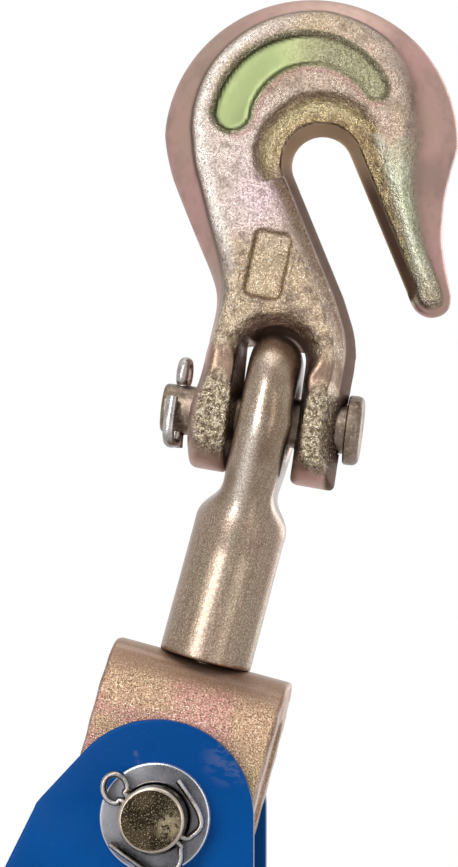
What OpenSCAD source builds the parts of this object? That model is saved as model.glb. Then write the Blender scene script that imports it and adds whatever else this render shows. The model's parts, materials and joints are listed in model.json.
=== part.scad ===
// Come along winch, hanging from its anchor hook.
// Origin at the middle of the hook's seat, +Z up along the line of pull, +X right, +Y away from the front.

/* [Anchor hook] */
// Lean of the hook to the left of the line of pull, in degrees
hook_lean = 8; // [0:1:10]
// Tip of the hook's top towards the back, in degrees
hook_tip = 8; // [0:1:12]
// Sideways place of the seat from the middle of the clevis
seat_side = 3.9; // [2:0.1:6]
// Height of the seat above the clevis pin
seat_rise = 50.6; // [47:0.1:56]
// Width of the grab slot
slot_w = 11.4; // [9:0.1:12.5]
// Slant of the grab slot from the hook's own upright, in degrees
slot_slant = 29.3; // [26:0.1:32]
// Length of the slot's left wall
slot_wall = 25.6; // [22:0.1:28]
// Length of the tine's wall along the slot
tine_wall = 29.3; // [24:0.1:33]
// Radius of the bow's outer edge
bow_r = 28.5; // [26:0.1:31]
// Width of the shank beside the slot
shank_w = 25.2; // [22:0.1:28]
// Thickness of the bow
bow_thick = 16; // [12:0.5:20]
// Thickness of the shank where it meets the ears
shank_thick = 18; // [14:0.5:21]

/* [Clevis] */
// Gap between the ears
ear_gap = 13.1; // [12.8:0.1:15]
// Thickness of each ear
ear_thick = 8.45; // [6:0.05:10]
// Radius of the ears about the pin
ear_r = 11; // [9.5:0.1:12]
// Height of the crotch above the pin
crotch_rise = 20.2; // [18.5:0.1:22]
// Diameter of the clevis pin
clevis_pin_d = 9.5; // [8:0.1:10]
// Length of pin past the left ear
clevis_pin_past = 5.7; // [5:0.1:9]
// Diameter of the clevis pin's head
clevis_head_d = 13.4; // [12:0.1:16]
// Thickness of the clevis pin's head
clevis_head_h = 2.7; // [2:0.1:5]

/* [Swivel] */
// Radius of the round bar that the eye is forged from
eye_bar_r = 4.7; // [4:0.1:4.8]
// Outer radius of the eye
eye_outer_r = 16.4; // [15:0.1:17]
// Diameter of the barrel at its lower end
barrel_d = 17.9; // [16:0.1:20]
// Distance from the clevis pin down to the barrel's top
barrel_top = 20; // [18.5:0.1:22]
// Distance from the clevis pin down to the barrel's lower face
barrel_base = 47.4; // [42:0.1:55]
// Diameter of the shank through the saddle
swivel_shank_d = 9; // [7:0.1:10]
// Outer diameter of the collar under the saddle
collar_d = 13.4; // [12:0.1:13.5]
// Height of the collar's rim below its rounded top
collar_rim = 0.9; // [0.5:0.1:3]

/* [Saddle] */
// Thickness of the saddle's strip
strip_thick = 8; // [6:0.1:9]
// Width of the saddle's strip
strip_w = 34.7; // [31:0.1:38]
// Gap between the saddle's legs
leg_gap = 14; // [13.9:0.1:16]
// Inner radius of the saddle's bends
bend_r = 5; // [3:0.1:6.5]
// Distance from the saddle's top down to the anchor pin
anchor_drop = 30.2; // [29:0.1:40]

/* [Frame] */
// Lean of the frame from the line of pull, in degrees
frame_lean = 6.6; // [0:0.1:10]
// Thickness of each frame plate
plate_thick = 3.5; // [2.5:0.1:5]
// Radius of the plate's top about the anchor pin
plate_top_r = 18.5; // [17.6:0.1:21]
// Half of the plate's width at its shoulders
shoulder_half = 22.2; // [20.5:0.1:25]
// Distance of the shoulders below the anchor pin
shoulder_drop = 5.6; // [4:0.1:9]
// Radius of the plate's lower end about the drum axle
plate_end_r = 30; // [26:0.1:33]
// Distance from the anchor pin down to the drum axle
axle_drop = 100; // [96:0.5:112]
// Diameter of the anchor pin
anchor_pin_d = 12.7; // [11:0.1:13.5]
// Length of the anchor pin past the washer
anchor_pin_past = 7.8; // [7:0.1:12]
// Diameter of the anchor pin's head
anchor_head_d = 19; // [17:0.1:22]
// Thickness of the anchor pin's head
anchor_head_h = 5; // [3:0.1:7]
// Outer diameter of the anchor pin's washer
washer_d = 21; // [19:0.1:25]
// Thickness of the anchor pin's washer
washer_h = 2.4; // [1.5:0.1:3]
// Sideways place of the two tie bolts
tie_side = 13; // [11.5:0.1:14.5]
// Distance of the tie bolts below the anchor pin
tie_drop = 27; // [26:0.1:28.5]
// Diameter of the tie bolts
tie_bolt_d = 8; // [6:0.5:8]
// Outer diameter of the tie spacers
tie_spacer_d = 12; // [11:0.1:13]

/* [Drum and ratchets] */
// Diameter of the drum axle
axle_d = 12; // [10:0.1:13]
// Width of the axle washers' rim about the axle
axle_washer_rim = 7; // [5:0.1:8]
// Radius of the drum's barrel
drum_r = 16; // [15:0.1:22]
// Width of the drum between the ratchet wheels
drum_w = 18; // [16:0.5:24]
// Thickness of each ratchet wheel
wheel_thick = 6; // [4:0.1:8]
// Radius of the ratchet teeth at their tips
tooth_tip_r = 46; // [44:0.1:47]
// Depth of the ratchet teeth
tooth_depth = 7.5; // [6:0.1:9]
// Number of teeth on each ratchet wheel
tooth_count = 12; // [12:12:12]
// Diameter of the rope hole in the drum
rope_hole_d = 6.5; // [5:0.1:7]
// Angle of the drill's point at the rope hole's floor, in degrees
drill_point = 140; // [118:1:150]
// Wall between the rope hole's floor and the bushing
rope_floor = 1; // [0.8:0.1:2.5]
// Diameter of the rope clamp screw
clamp_screw_d = 5; // [4:0.1:5.5]
// Wall of the drum's bushing
bushing_wall = 2; // [1.5:0.1:2.5]
// Diameter of the pins that lock the wheels to the drum
lock_pin_d = 3; // [2.5:0.1:3.2]

/* [Pawls] */
// Distance of each pawl's pin from the drum axle
pawl_reach = 60; // [59:0.1:62]
// Angle from the pawl's pin to its nose about the drum axle, in degrees
pawl_angle = 45; // [44:0.5:47]
// Diameter of the pawl pins
pawl_pin_d = 8; // [6:0.1:8.5]
// Radius of the pawl's boss
pawl_boss_r = 7.5; // [7:0.1:8]
// Thickness of the pawl's arms across the swing
pawl_arm = 10; // [8:0.1:11]
// Lift of a pawl from its tooth, in degrees
pawl_lift = 24; // [18:1:25]
// Length of the pawl's thumb tab from its pin
tab_reach = 40; // [34:0.5:42]
// Thickness of the pawl's thumb tab
tab_thick = 4.5; // [3:0.1:5]
// Diameter of the pawl springs' wire
spring_wire_d = 1.6; // [1.2:0.1:1.7]
// Turns of each pawl spring
spring_turns = 5; // [3:1:5]

/* [Handle] */
// Thickness of each yoke arm
arm_thick = 4; // [3:0.1:5]
// Width of the yoke arms
arm_w = 40; // [38:0.5:44]
// Distance from the drum axle to the start of the jog
jog_start = 82; // [81:0.5:88]
// Length of the jog
jog_len = 18; // [14:0.5:24]
// Length of the yoke arms beside the tube
lap_len = 44; // [38:0.5:60]
// Outer diameter of the handle tube
tube_d = 27; // [24:0.1:30]
// Wall of the handle tube
tube_wall = 2; // [1.5:0.1:3]
// Length of the handle tube
tube_len = 272; // [240:1:300]
// Length of the hand grip
grip_len = 128; // [110:1:150]
// Thickness of the grip's sleeve
grip_wall = 2.6; // [2:0.1:4]
// Height of the grip's ribs
rib_h = 0.9; // [0.5:0.1:1.5]
// Number of ribs on the grip
rib_count = 16; // [8:1:18]
// Diameter of the two handle rivets
rivet_d = 8; // [6:0.5:9]

/* [Clearances] */
// Radial clearance of a pin in a fixed hole
pin_fit = 0.1; // [0.05:0.01:0.12]
// Radial clearance of a pin in a part that turns on it
turn_fit = 0.3; // [0.25:0.01:0.35]
// Gap between flat faces that slide past each other
face_gap = 0.4; // [0.3:0.05:0.5]
// Gap between a pawl and the teeth that it stands in
tooth_gap = 0.5; // [0.4:0.05:0.6]
// Gap between fixed faces that are clamped together
seat_gap = 0.05; // [0.02:0.01:0.1]

/* [Hidden] */
$fn = 64;
over = 1;

zinc = [0.80, 0.66, 0.34];
steel = [0.72, 0.72, 0.70];
blue = [0.02, 0.27, 0.55];
dark = [0.35, 0.34, 0.32];
black = [0.08, 0.08, 0.08];

// Places along the line of pull
seat_back = seat_rise * sin(hook_tip);
seat_up = seat_rise * cos(hook_tip);
clevis_at = [
    seat_up * sin(hook_lean) - seat_side * cos(hook_lean),
    -seat_back,
    -seat_up * cos(hook_lean) - seat_side * sin(hook_lean)
];
barrel_base_z = clevis_at.z - barrel_base;
saddle_top_z = barrel_base_z - face_gap;
anchor_at = [clevis_at.x, clevis_at.y, saddle_top_z - anchor_drop];

// Half widths through the frame, from the middle outwards
saddle_half = leg_gap / 2 + strip_thick;
wheel_half = drum_w / 2 + wheel_thick;
plate_in = max(saddle_half, wheel_half) + face_gap;
plate_out = plate_in + plate_thick;
arm_in = plate_out + face_gap;
arm_out = arm_in + arm_thick;
tube_half = tube_d / 2;
pawl_pin_r = pawl_pin_d / 2;
clevis_half = ear_gap / 2 + ear_thick;
tooth_root_r = tooth_tip_r - tooth_depth;
tooth_pitch = 360 / tooth_count;

function unit(v) = v / norm(v);
function flat(p) = [p.x, 0, p.y];
function polar(r, a) = r * [cos(a), sin(a)];
function between(a, b, f) = a * (1 - f) + b * f;

// A smooth line through a few points: each span is divided into the same number of steps
function spline_at(p, i, t) =
    let (
        n = len(p) - 1,
        a = p[max(i - 1, 0)],
        b = p[i],
        c = p[min(i + 1, n)],
        d = p[min(i + 2, n)]
    )
    0.5 * (2 * b + (c - a) * t + (2 * a - 5 * b + 4 * c - d) * pow(t, 2) + (3 * b - a - 3 * c + d) * pow(t, 3));
function spline(p, steps) = [
    for (i = [0 : len(p) - 2], k = [0 : steps - 1]) spline_at(p, i, k / steps),
    p[len(p) - 1]
];

// Faces that join rings of points into one closed solid
function ring_faces(rings, sides) = concat(
    [for (i = [0 : rings - 2], k = [0 : sides - 1])
        let (a = i * sides + k, b = i * sides + (k + 1) % sides)
        each [[a, b, a + sides], [b, b + sides, a + sides]]],
    [for (k = [1 : sides - 2]) [0, k + 1, k]],
    [for (k = [1 : sides - 2]) let (o = (rings - 1) * sides) [o, o + k, o + k + 1]]
);

// An oval wire along a path that never runs along the side direction
function path_dir(p, i) = unit(p[min(i + 1, len(p) - 1)] - p[max(i - 1, 0)]);
function wire_ring(p, i, thin, wide, side, sides) =
    let (t = path_dir(p, i), n = unit(cross(t, side)), b = cross(t, n))
    [for (k = [0 : sides - 1]) p[i] + thin * cos(360 * k / sides) * n - wide * sin(360 * k / sides) * b];
module wire(p, thin, wide, side, sides = 8) {
    polyhedron([for (i = [0 : len(p) - 1]) each wire_ring(p, i, thin, wide, side, sides)],
        ring_faces(len(p), sides), convexity = 6);
}

// Least gap between stretches of a wire that lie more than some steps apart
function least_gap(p, r, apart) =
    min([for (i = [0 : len(p) - 1 - apart], k = [i + apart : len(p) - 1]) norm(p[i] - p[k])]) - 2 * r;

// A round bar between two places along Y
module y_bar(r, from, to) {
    translate([0, to, 0]) rotate([90, 0, 0]) cylinder(r = r, h = to - from);
}

// A round bar along Y with chamfered ends
module y_pin(r, from, to, chamfer) {
    translate([0, to, 0]) rotate([90, 0, 0]) rotate_extrude()
        polygon([[0, 0], [r - chamfer, 0], [r, chamfer], [r, to - from - chamfer],
            [r - chamfer, to - from], [0, to - from]]);
}

// A hexagon along Y, measured across its flats
module y_hex(flats, from, to) {
    translate([0, to, 0]) rotate([90, 0, 0]) rotate([0, 0, 30]) cylinder(d = flats / cos(30), h = to - from, $fn = 6);
}

// Both sides of the middle plane
module both_sides() {
    children();
    mirror([0, 1, 0]) children();
}

module on_hook() {
    translate(clevis_at) rotate([-hook_tip, -hook_lean, 0]) children();
}

module on_pull() {
    translate(clevis_at) children();
}

module on_saddle() {
    translate([clevis_at.x, clevis_at.y, saddle_top_z]) children();
}

module on_frame() {
    translate(anchor_at) rotate([0, frame_lean, 0]) children();
}

module on_axle() {
    on_frame() translate([0, 0, -axle_drop]) children();
}

// The handle's own frame is the frame's turned half round about the axle
module on_handle() {
    on_axle() rotate([0, 180, 0]) children();
}

module on_pawl_pin() {
    translate([0, 0, pawl_reach]) children();
}

// ---- Anchor hook: sections run from the shank over the bow to the tine ----
slot_r = slot_w / 2;
seat_at = [seat_side, seat_rise];
slot_dir = [sin(slot_slant), -cos(slot_slant)];
slot_left = [-cos(slot_slant), -sin(slot_slant)];
shank_end = seat_at + slot_r * slot_left;
bow_at = seat_at + [-2.85, 4.2];
bow_from = 196;
bow_to = 5;
bow_steps = 16;
bow_half = bow_thick / 2;
shank_half = shank_thick / 2;
hook_sides = 16;
ear_reach = 2 * ear_r;
hook_square = 0.62;

// Each section is [inner point, outer point, half thickness]
shank_sections = [
    [[clevis_half + 0.2, ear_r - 2], [-clevis_half, ear_r - 2], shank_half + 1.4],
    [[clevis_half + 0.4, 12.6], [-clevis_half + 0.3, 12.6], shank_half + 1.2],
    [[clevis_half - 0.1, 17], [-clevis_half + 1.4, 17], shank_half + 0.6],
    [[clevis_half - 1.7, 21], [-clevis_half + 2.2, 20.6], shank_half]
];
wall_sections = [
    for (f = [0 : 0.25 : 0.75])
        let (inner = shank_end + slot_wall * (1 - f) * slot_dir)
        [inner, inner - [shank_w, 0], between(shank_half, bow_half, f)]
];
bow_sections = [
    for (k = [0 : bow_steps])
        let (f = k / bow_steps)
        [seat_at + polar(slot_r, 180 + slot_slant - 180 * f),
            bow_at + polar(bow_r, bow_from + (bow_to - bow_from) * f), bow_half]
];
tine_start = seat_at - slot_r * slot_left;
tine_tip = tine_start + tine_wall * slot_dir;
tine_sections = [
    [between(tine_start, tine_tip, 0.2), [bow_at.x + bow_r - 0.6, between(tine_start, tine_tip, 0.2).y + 2.4],
        bow_half - 0.2],
    [between(tine_start, tine_tip, 0.4), [bow_at.x + bow_r - 1, between(tine_start, tine_tip, 0.4).y + 0.6],
        bow_half - 0.6],
    [between(tine_start, tine_tip, 0.6), tine_tip + [5.7, 9.8], bow_half - 1.2],
    [between(tine_start, tine_tip, 0.8), tine_tip + [7.2, 4.6], bow_half - 2.2],
    [between(tine_start, tine_tip, 0.95), tine_tip + [8.3, 1.2], bow_half - 3.2],
    [tine_tip + [1.2, -1.2], tine_tip + [8.2, -1.6], bow_half - 4.2],
    [tine_tip + [3, -3], tine_tip + [6.6, -3.2], bow_half - 5.8]
];
hook_sections = concat(shank_sections, wall_sections, bow_sections, tine_sections);

function rounded(v) = sign(v) * pow(abs(v), hook_square);
function hook_ring(s) =
    let (middle = (s[0] + s[1]) / 2, half = (s[1] - s[0]) / 2)
    [for (k = [0 : hook_sides - 1])
        let (a = 360 * (k + 0.5) / hook_sides)
        flat(middle + half * rounded(cos(a))) + [0, s[2] * rounded(sin(a)), 0]];

module clevis_ears() {
    rotate([0, 90, 0]) translate([0, 0, -clevis_half]) rotate_extrude() {
        translate([0, 2.5]) square([ear_r, 2 * clevis_half - 5]);
        square([ear_r - 2.5, 2 * clevis_half]);
        translate([ear_r - 2.5, 2.5]) circle(r = 2.5);
        translate([ear_r - 2.5, 2 * clevis_half - 2.5]) circle(r = 2.5);
    }
    translate([-clevis_half, -ear_r + 0.6, 0]) cube([2 * clevis_half, 2 * ear_r - 1.2, ear_r]);
}

module anchor_hook() {
    color(zinc) on_hook() difference() {
        union() {
            polyhedron([for (s = hook_sections) each hook_ring(s)],
                ring_faces(len(hook_sections), hook_sides), convexity = 8);
            clevis_ears();
        }
        translate([0, 0, crotch_rise - ear_gap / 2]) y_bar(ear_gap / 2, -ear_reach, ear_reach);
        translate([-ear_gap / 2, -ear_reach, -ear_r - over])
            cube([ear_gap, 2 * ear_reach, ear_r + over + crotch_rise - ear_gap / 2]);
        translate([-clevis_half - over, 0, 0]) rotate([0, 90, 0])
            cylinder(d = clevis_pin_d + 2 * pin_fit, h = 2 * clevis_half + 2 * over);
    }
}

// ---- Clevis pin ----
clevis_pin_r = clevis_pin_d / 2;
clevis_head_r = clevis_head_d / 2;
clevis_head_at = clevis_half + face_gap;
clevis_pin_left = clevis_half + clevis_pin_past;
clevis_cotter_at = -clevis_half - 2.3;
clevis_leg = [0.7, 1.35];
clevis_hole_r = 1.62;

module clevis_pin() {
    color(zinc) on_hook() difference() {
        rotate([0, 90, 0]) rotate_extrude()
            polygon([[0, -clevis_pin_left], [clevis_pin_r - 1, -clevis_pin_left],
                [clevis_pin_r, -clevis_pin_left + 1], [clevis_pin_r, clevis_head_at],
                [clevis_head_r, clevis_head_at], [clevis_head_r, clevis_head_at + clevis_head_h - 0.9],
                [clevis_head_r - 1.4, clevis_head_at + clevis_head_h - 0.2],
                [0, clevis_head_at + clevis_head_h]]);
        translate([clevis_cotter_at, 0, -ear_r]) cylinder(r = clevis_hole_r, h = 2 * ear_r);
    }
}

// ---- Split pins: one wire from a bent tip through the pin, round the eye and back ----
// The eye stands at y above the far side of the pin, and the legs lie side by side
function eye_loop(r, leg, y) =
    let (start = asin(leg / r))
    [for (k = [0 : 8]) [0, y + r * cos(start)] + polar(r, -90 + start + (360 - 2 * start) * k / 8)];
function split_pin(first, second, r, leg, y) = concat(
    [for (k = [len(first) - 1 : -1 : 0]) first[k]], [[leg, 0]], eye_loop(r, leg, y), [[-leg, 0]], second
);

// Legs of the clevis pin's split pin, along Y and Z: one is bent up in front of the pin
clevis_split = split_pin(
    [[clevis_leg.x + 0.05, -clevis_pin_r - 1.5], [clevis_leg.x + 0.6, -clevis_pin_r - 5]],
    [[-clevis_leg.x - 0.05, -clevis_pin_r - 1], [-clevis_leg.x - 1, -clevis_pin_r - 3.4],
        [-clevis_pin_r + 0.8, -clevis_pin_r - 4.4], [-clevis_pin_r - 1, -clevis_pin_r - 2.2],
        [-clevis_pin_r - 1.5, -2.6], [-clevis_pin_r - 1.3, 1.4]],
    1.9, clevis_leg.x + 0.05, clevis_pin_r + 0.7
);

module clevis_cotter() {
    color(steel) on_hook() translate([clevis_cotter_at, 0, 0])
        wire([for (p = spline(clevis_split, 2)) [0, p.x, p.y]], clevis_leg.x, clevis_leg.y, [1, 0, 0]);
}

// ---- Swivel eye ----
eye_in = clevis_pin_r + turn_fit + 0.05;
barrel_r = barrel_d / 2;
barrel_neck_r = barrel_r - 0.25;
neck_r = eye_bar_r - 0.15;
neck_fillet = barrel_neck_r - neck_r;
collar_r = collar_d / 2;
collar_round = bend_r - 0.2;
collar_h = collar_round + collar_rim;
swivel_shank_r = swivel_shank_d / 2;
collar_top = barrel_base + face_gap + strip_thick + face_gap;
swivel_end = collar_top + collar_h + 0.8;

module swivel_eye() {
    color(zinc) on_pull() union() {
        rotate([0, 90, 0]) rotate_extrude() {
            translate([eye_in + eye_bar_r, 0]) circle(r = eye_bar_r);
            translate([eye_outer_r - eye_bar_r, 0]) circle(r = eye_bar_r);
            translate([eye_in + eye_bar_r, -eye_bar_r])
                square([eye_outer_r - eye_in - 2 * eye_bar_r, 2 * eye_bar_r]);
        }
        translate([-eye_bar_r + 0.5, 0, 0]) rotate([90, 0, 90])
            linear_extrude(2 * eye_bar_r - 1) difference() {
                polygon([[-eye_outer_r + 3.6, -9], [eye_outer_r - 3.6, -9],
                    [barrel_neck_r - 0.2, -barrel_top - 0.5], [-barrel_neck_r + 0.2, -barrel_top - 0.5]]);
                circle(r = eye_outer_r - eye_bar_r - 0.7);
            }
        rotate_extrude() polygon(concat(
            [[0, -eye_outer_r + 3], [neck_r, -eye_outer_r + 3]],
            [for (a = [180 : 15 : 270]) [barrel_neck_r, neck_fillet - barrel_top] + polar(neck_fillet, a)],
            [[barrel_r, -barrel_base + 1], [barrel_r - 1, -barrel_base], [swivel_shank_r, -barrel_base],
                [swivel_shank_r, -swivel_end + 0.6], [swivel_shank_r - 0.6, -swivel_end], [0, -swivel_end]]
        ));
    }
}

module swivel_collar() {
    color(steel) on_pull() translate([0, 0, -collar_top - collar_h]) rotate_extrude() difference() {
        union() {
            square([collar_r, collar_rim]);
            translate([collar_r - collar_round, collar_rim]) circle(r = collar_round);
        }
        translate([-collar_d, -2 * collar_h]) square([collar_d + swivel_shank_r + pin_fit, 4 * collar_h]);
        translate([0, -2 * collar_h]) square([collar_d, 2 * collar_h]);
    }
}

// ---- Saddle ----
module bent_strip(half, r) {
    translate([-half, -anchor_drop - strip_w]) square([2 * half, anchor_drop + strip_w - r]);
    translate([-half + r, -anchor_drop - strip_w]) square([2 * (half - r), anchor_drop + strip_w]);
    for (side = [-1, 1]) translate([side * (half - r), -r]) circle(r = r);
}

module saddle() {
    pin_hole_r = anchor_pin_d / 2 + turn_fit;
    color(zinc) on_saddle() difference() {
        intersection() {
            translate([-strip_w / 2, 0, 0]) rotate([90, 0, 90]) linear_extrude(strip_w) difference() {
                bent_strip(saddle_half, bend_r + strip_thick);
                translate([0, -strip_thick]) bent_strip(leg_gap / 2, bend_r);
            }
            in_plane(-saddle_half - over, saddle_half + over) {
                translate([-strip_w / 2, -anchor_drop]) square([strip_w, anchor_drop + over]);
                translate([0, -anchor_drop]) circle(d = strip_w);
            }
        }
        translate([0, 0, -strip_thick - over]) cylinder(r = swivel_shank_r + turn_fit, h = strip_thick + 2 * over);
        translate([0, 0, -anchor_drop]) y_bar(pin_hole_r, -saddle_half - over, saddle_half + over);
    }
}

// ---- Frame ----
// Each outline becomes a slab between two places along Y
module in_plane(from, to) {
    for (k = [0 : $children - 1])
        translate([0, to, 0]) rotate([90, 0, 0]) linear_extrude(to - from) children(k);
}

// Angle of the tangent point from p to a circle of radius r about the origin
function tangent_at(p, r) = atan2(p.y, p.x) + acos(r / norm(p));
function flank_at(p, r) = atan2(p.y, p.x) - acos(r / norm(p));
shoulder = [shoulder_half, -shoulder_drop];
axle_2d = [0, -axle_drop];
top_tangent = polar(plate_top_r, tangent_at(shoulder, plate_top_r));
end_tangent = axle_2d + polar(plate_end_r, flank_at(shoulder - axle_2d, plate_end_r));
function flipped(p) = [-p.x, p.y];
anchor_pin_r = anchor_pin_d / 2;
axle_r = axle_d / 2;
tie_r = tie_bolt_d / 2;
tie_places = [[-tie_side, -tie_drop], [tie_side, -tie_drop]];

module plate(from) {
    color(blue) on_frame() difference() {
        in_plane(from, from + plate_thick) {
            circle(r = plate_top_r);
            translate(axle_2d) circle(r = plate_end_r);
            polygon([top_tangent, shoulder, end_tangent, flipped(end_tangent), flipped(shoulder),
                flipped(top_tangent)]);
        }
        y_bar(anchor_pin_r + pin_fit, from - over, from + plate_thick + over);
        translate([0, 0, -axle_drop]) y_bar(axle_r + pin_fit, from - over, from + plate_thick + over);
        translate([0, 0, pawl_reach - axle_drop]) y_bar(pawl_pin_r + pin_fit, from - over, from + plate_thick + over);
        for (p = tie_places) translate(flat(p)) y_bar(tie_r + pin_fit, from - over, from + plate_thick + over);
    }
}

module front_plate() { plate(-plate_out); }
module back_plate() { plate(plate_in); }

// ---- Anchor pin ----
washer_at = -plate_out - seat_gap;
cotter_wire = [0.95, 1.9];
cotter_hole_r = 2.25;
cotter_turn = 15;
cotter_at = washer_at - washer_h - cotter_hole_r - 0.6;
anchor_pin_front = washer_at - washer_h - anchor_pin_past;

module anchor_pin() {
    head_at = plate_out + seat_gap;
    color(dark) on_frame() difference() {
        union() {
            y_pin(anchor_pin_r, anchor_pin_front, head_at + 1, 0.9);
            y_pin(anchor_head_d / 2, head_at, head_at + anchor_head_h, 0.8);
        }
        translate([0, cotter_at, 0]) rotate([0, 90 + cotter_turn, 0])
            cylinder(r = cotter_hole_r, h = 2 * anchor_head_d, center = true);
    }
}

module anchor_washer() {
    color(steel) on_frame() difference() {
        y_pin(washer_d / 2, washer_at - washer_h, washer_at, 0.4);
        y_bar(anchor_pin_r + turn_fit, washer_at - washer_h - over, washer_at + over);
    }
}

// Legs of the anchor pin's split pin, across the pin: one goes back over the top and one under
anchor_split = split_pin(
    [[1, -anchor_pin_r - 1], [-0.6, -anchor_pin_r - 2.1], [-3.4, -anchor_pin_r - 1.6], [-6, -anchor_pin_r + 0.4],
        [-8, -2.4], [-8.5, 1.6]],
    [[-1, -anchor_pin_r - 1], [1, -anchor_pin_r - 2.4], [4.4, -anchor_pin_r - 2], [7.6, -anchor_pin_r + 1.2],
        [9.3, -2.2], [9.8, 2.8], [9, 7.4]],
    2.1, cotter_wire.x + 0.05, anchor_pin_r + 2.6
);

module anchor_cotter() {
    color(steel) on_frame() translate([0, cotter_at, 0]) rotate([0, cotter_turn, 0])
        wire([for (p = spline(anchor_split, 2)) [-p.y, 0, -p.x]], cotter_wire.x, cotter_wire.y, [0, 1, 0]);
}

// ---- Tie bolts ----
bolt_head_h = 5.3;
bolt_flats = 13;
nut_h = 6.5;

module tie_bolt(half) {
    y_hex(bolt_flats, -half - seat_gap - bolt_head_h, -half - seat_gap);
    y_pin(tie_r, -half - seat_gap - 1, half + seat_gap + nut_h + 1.6, 0.6);
}

module tie_nut(half) {
    difference() {
        y_hex(bolt_flats, half + seat_gap, half + seat_gap + nut_h);
        y_bar(tie_r + pin_fit, half - over, half + nut_h + over);
    }
}

module tie_spacer(half) {
    difference() {
        y_bar(tie_spacer_d / 2, -half + seat_gap, half - seat_gap);
        y_bar(tie_r + pin_fit, -half - over, half + over);
    }
}

module tie_spacers() {
    color(steel) on_frame() for (p = tie_places) translate(flat(p)) tie_spacer(plate_in);
}

module tie_bolts() {
    color(steel) on_frame() for (p = tie_places) translate(flat(p)) tie_bolt(plate_out);
}

module tie_nuts() {
    color(steel) on_frame() for (p = tie_places) translate(flat(p)) tie_nut(plate_out);
}

// ---- Pawl pins ----
ring_h = 1.2;
groove_r = pawl_pin_r - 0.8;

module grooved_pin(half) {
    groove = half + seat_gap;
    difference() {
        y_pin(pawl_pin_r, -groove - ring_h - 1.6, groove + ring_h + 1.6, 0.5);
        both_sides() difference() {
            y_bar(pawl_pin_r + over, groove, groove + ring_h);
            y_bar(groove_r, groove - over, groove + ring_h + over);
        }
    }
}

module snap_rings(half) {
    from = half + seat_gap + pin_fit / 2;
    to = from + ring_h - pin_fit;
    both_sides() difference() {
        y_bar(pawl_pin_r + 2.6, from, to);
        y_bar(groove_r + pin_fit / 2, from - over, to + over);
        translate([-groove_r * 0.8, from - over, -2 * pawl_pin_r]) cube([groove_r * 1.6, ring_h + 2 * over, 2 * pawl_pin_r]);
    }
}

module holding_pawl_pin() {
    color(steel) on_axle() on_pawl_pin() grooved_pin(plate_out);
}

module holding_pawl_rings() {
    color(steel) on_axle() on_pawl_pin() snap_rings(plate_out);
}

module drive_pawl_pin() {
    color(steel) on_handle() on_pawl_pin() grooved_pin(arm_out);
}

module drive_pawl_rings() {
    color(steel) on_handle() on_pawl_pin() snap_rings(arm_out);
}

// ---- Drum axle ----
axle_washer_r = axle_r + axle_washer_rim;
axle_washer_h = 2;
axle_clamp = arm_out + face_gap + axle_washer_h;
axle_head_h = 7.5;
axle_nut_h = 10;
axle_flats = 19;

module drum_axle() {
    color(steel) on_axle() {
        y_hex(axle_flats, -axle_clamp - seat_gap - axle_head_h, -axle_clamp - seat_gap);
        y_pin(axle_r, -axle_clamp - 2 * seat_gap - 1, axle_clamp + seat_gap + axle_nut_h + 3, 1);
    }
}

module axle_washers() {
    color(steel) on_axle() both_sides() difference() {
        y_pin(axle_washer_r, arm_out + face_gap, axle_clamp, 0.3);
        y_bar(axle_r + pin_fit, arm_out, axle_clamp + over);
    }
}

module axle_nut() {
    color(steel) on_axle() difference() {
        y_hex(axle_flats, axle_clamp + seat_gap, axle_clamp + seat_gap + axle_nut_h);
        y_bar(axle_r + pin_fit, axle_clamp - over, axle_clamp + axle_nut_h + 2 * over);
    }
}

// ---- Drum ----
drum_half = drum_w / 2;
bushing_r = axle_r + pin_fit + bushing_wall;
spigot_r = 0.69 * drum_r;
lock_ring_r = (spigot_r + drum_r) / 2;
lock_r = lock_pin_d / 2;
lock_angles = [90, 210, 330];
rope_hole_r = rope_hole_d / 2;
drill_tip = rope_hole_r / tan(drill_point / 2);
rope_hole_floor = bushing_r + seat_gap + rope_floor + drill_tip;
clamp_side = drum_r - 3.7;
clamp_r = clamp_screw_d / 2;
clamp_top = sqrt(pow(drum_r, 2) - pow(clamp_side, 2)) + 0.6;

module lock_holes(from, to) {
    for (a = lock_angles) translate(flat(polar(lock_ring_r, a))) y_bar(lock_r + seat_gap, from, to);
}

module rope_hole() {
    rotate_extrude()
        polygon([[0, -drill_tip], [rope_hole_r, 0], [rope_hole_r, drum_r], [0, drum_r]]);
}

module drum_barrel() {
    color(dark) on_axle() difference() {
        union() {
            y_bar(drum_r, -drum_half, drum_half);
            y_bar(spigot_r, -wheel_half, wheel_half);
        }
        y_bar(bushing_r + seat_gap, -wheel_half - over, wheel_half + over);
        translate([rope_hole_floor, 0, 0]) rotate([0, 90, 0]) rope_hole();
        translate([clamp_side, 0, 0]) cylinder(r = clamp_r + pin_fit, h = drum_r);
        lock_holes(-drum_half - over, drum_half + over);
    }
}

tooth_land = 3;
tooth_floor = 4;
tooth_phase = 90 + pawl_angle;
tooth_outline = [
    for (k = [0 : tooth_count - 1])
        let (a = tooth_phase + k * tooth_pitch)
        each [polar(tooth_tip_r, a), polar(tooth_tip_r, a + tooth_land),
            polar(tooth_root_r, a + tooth_pitch - tooth_floor), polar(tooth_root_r, a + tooth_pitch)]
];

module ratchet(from) {
    color(dark) on_axle() difference() {
        in_plane(from, from + wheel_thick - seat_gap) difference() {
            polygon(tooth_outline);
            circle(r = spigot_r + seat_gap);
        }
        lock_holes(from - over, from + wheel_thick + over);
    }
}

module front_ratchet() { ratchet(-wheel_half); }
module back_ratchet() { ratchet(drum_half + seat_gap); }

module drum_bushing() {
    color(zinc) on_axle() difference() {
        y_bar(bushing_r, -wheel_half - face_gap / 2, wheel_half + face_gap / 2);
        y_bar(axle_r + pin_fit, -wheel_half - over, wheel_half + over);
    }
}

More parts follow.
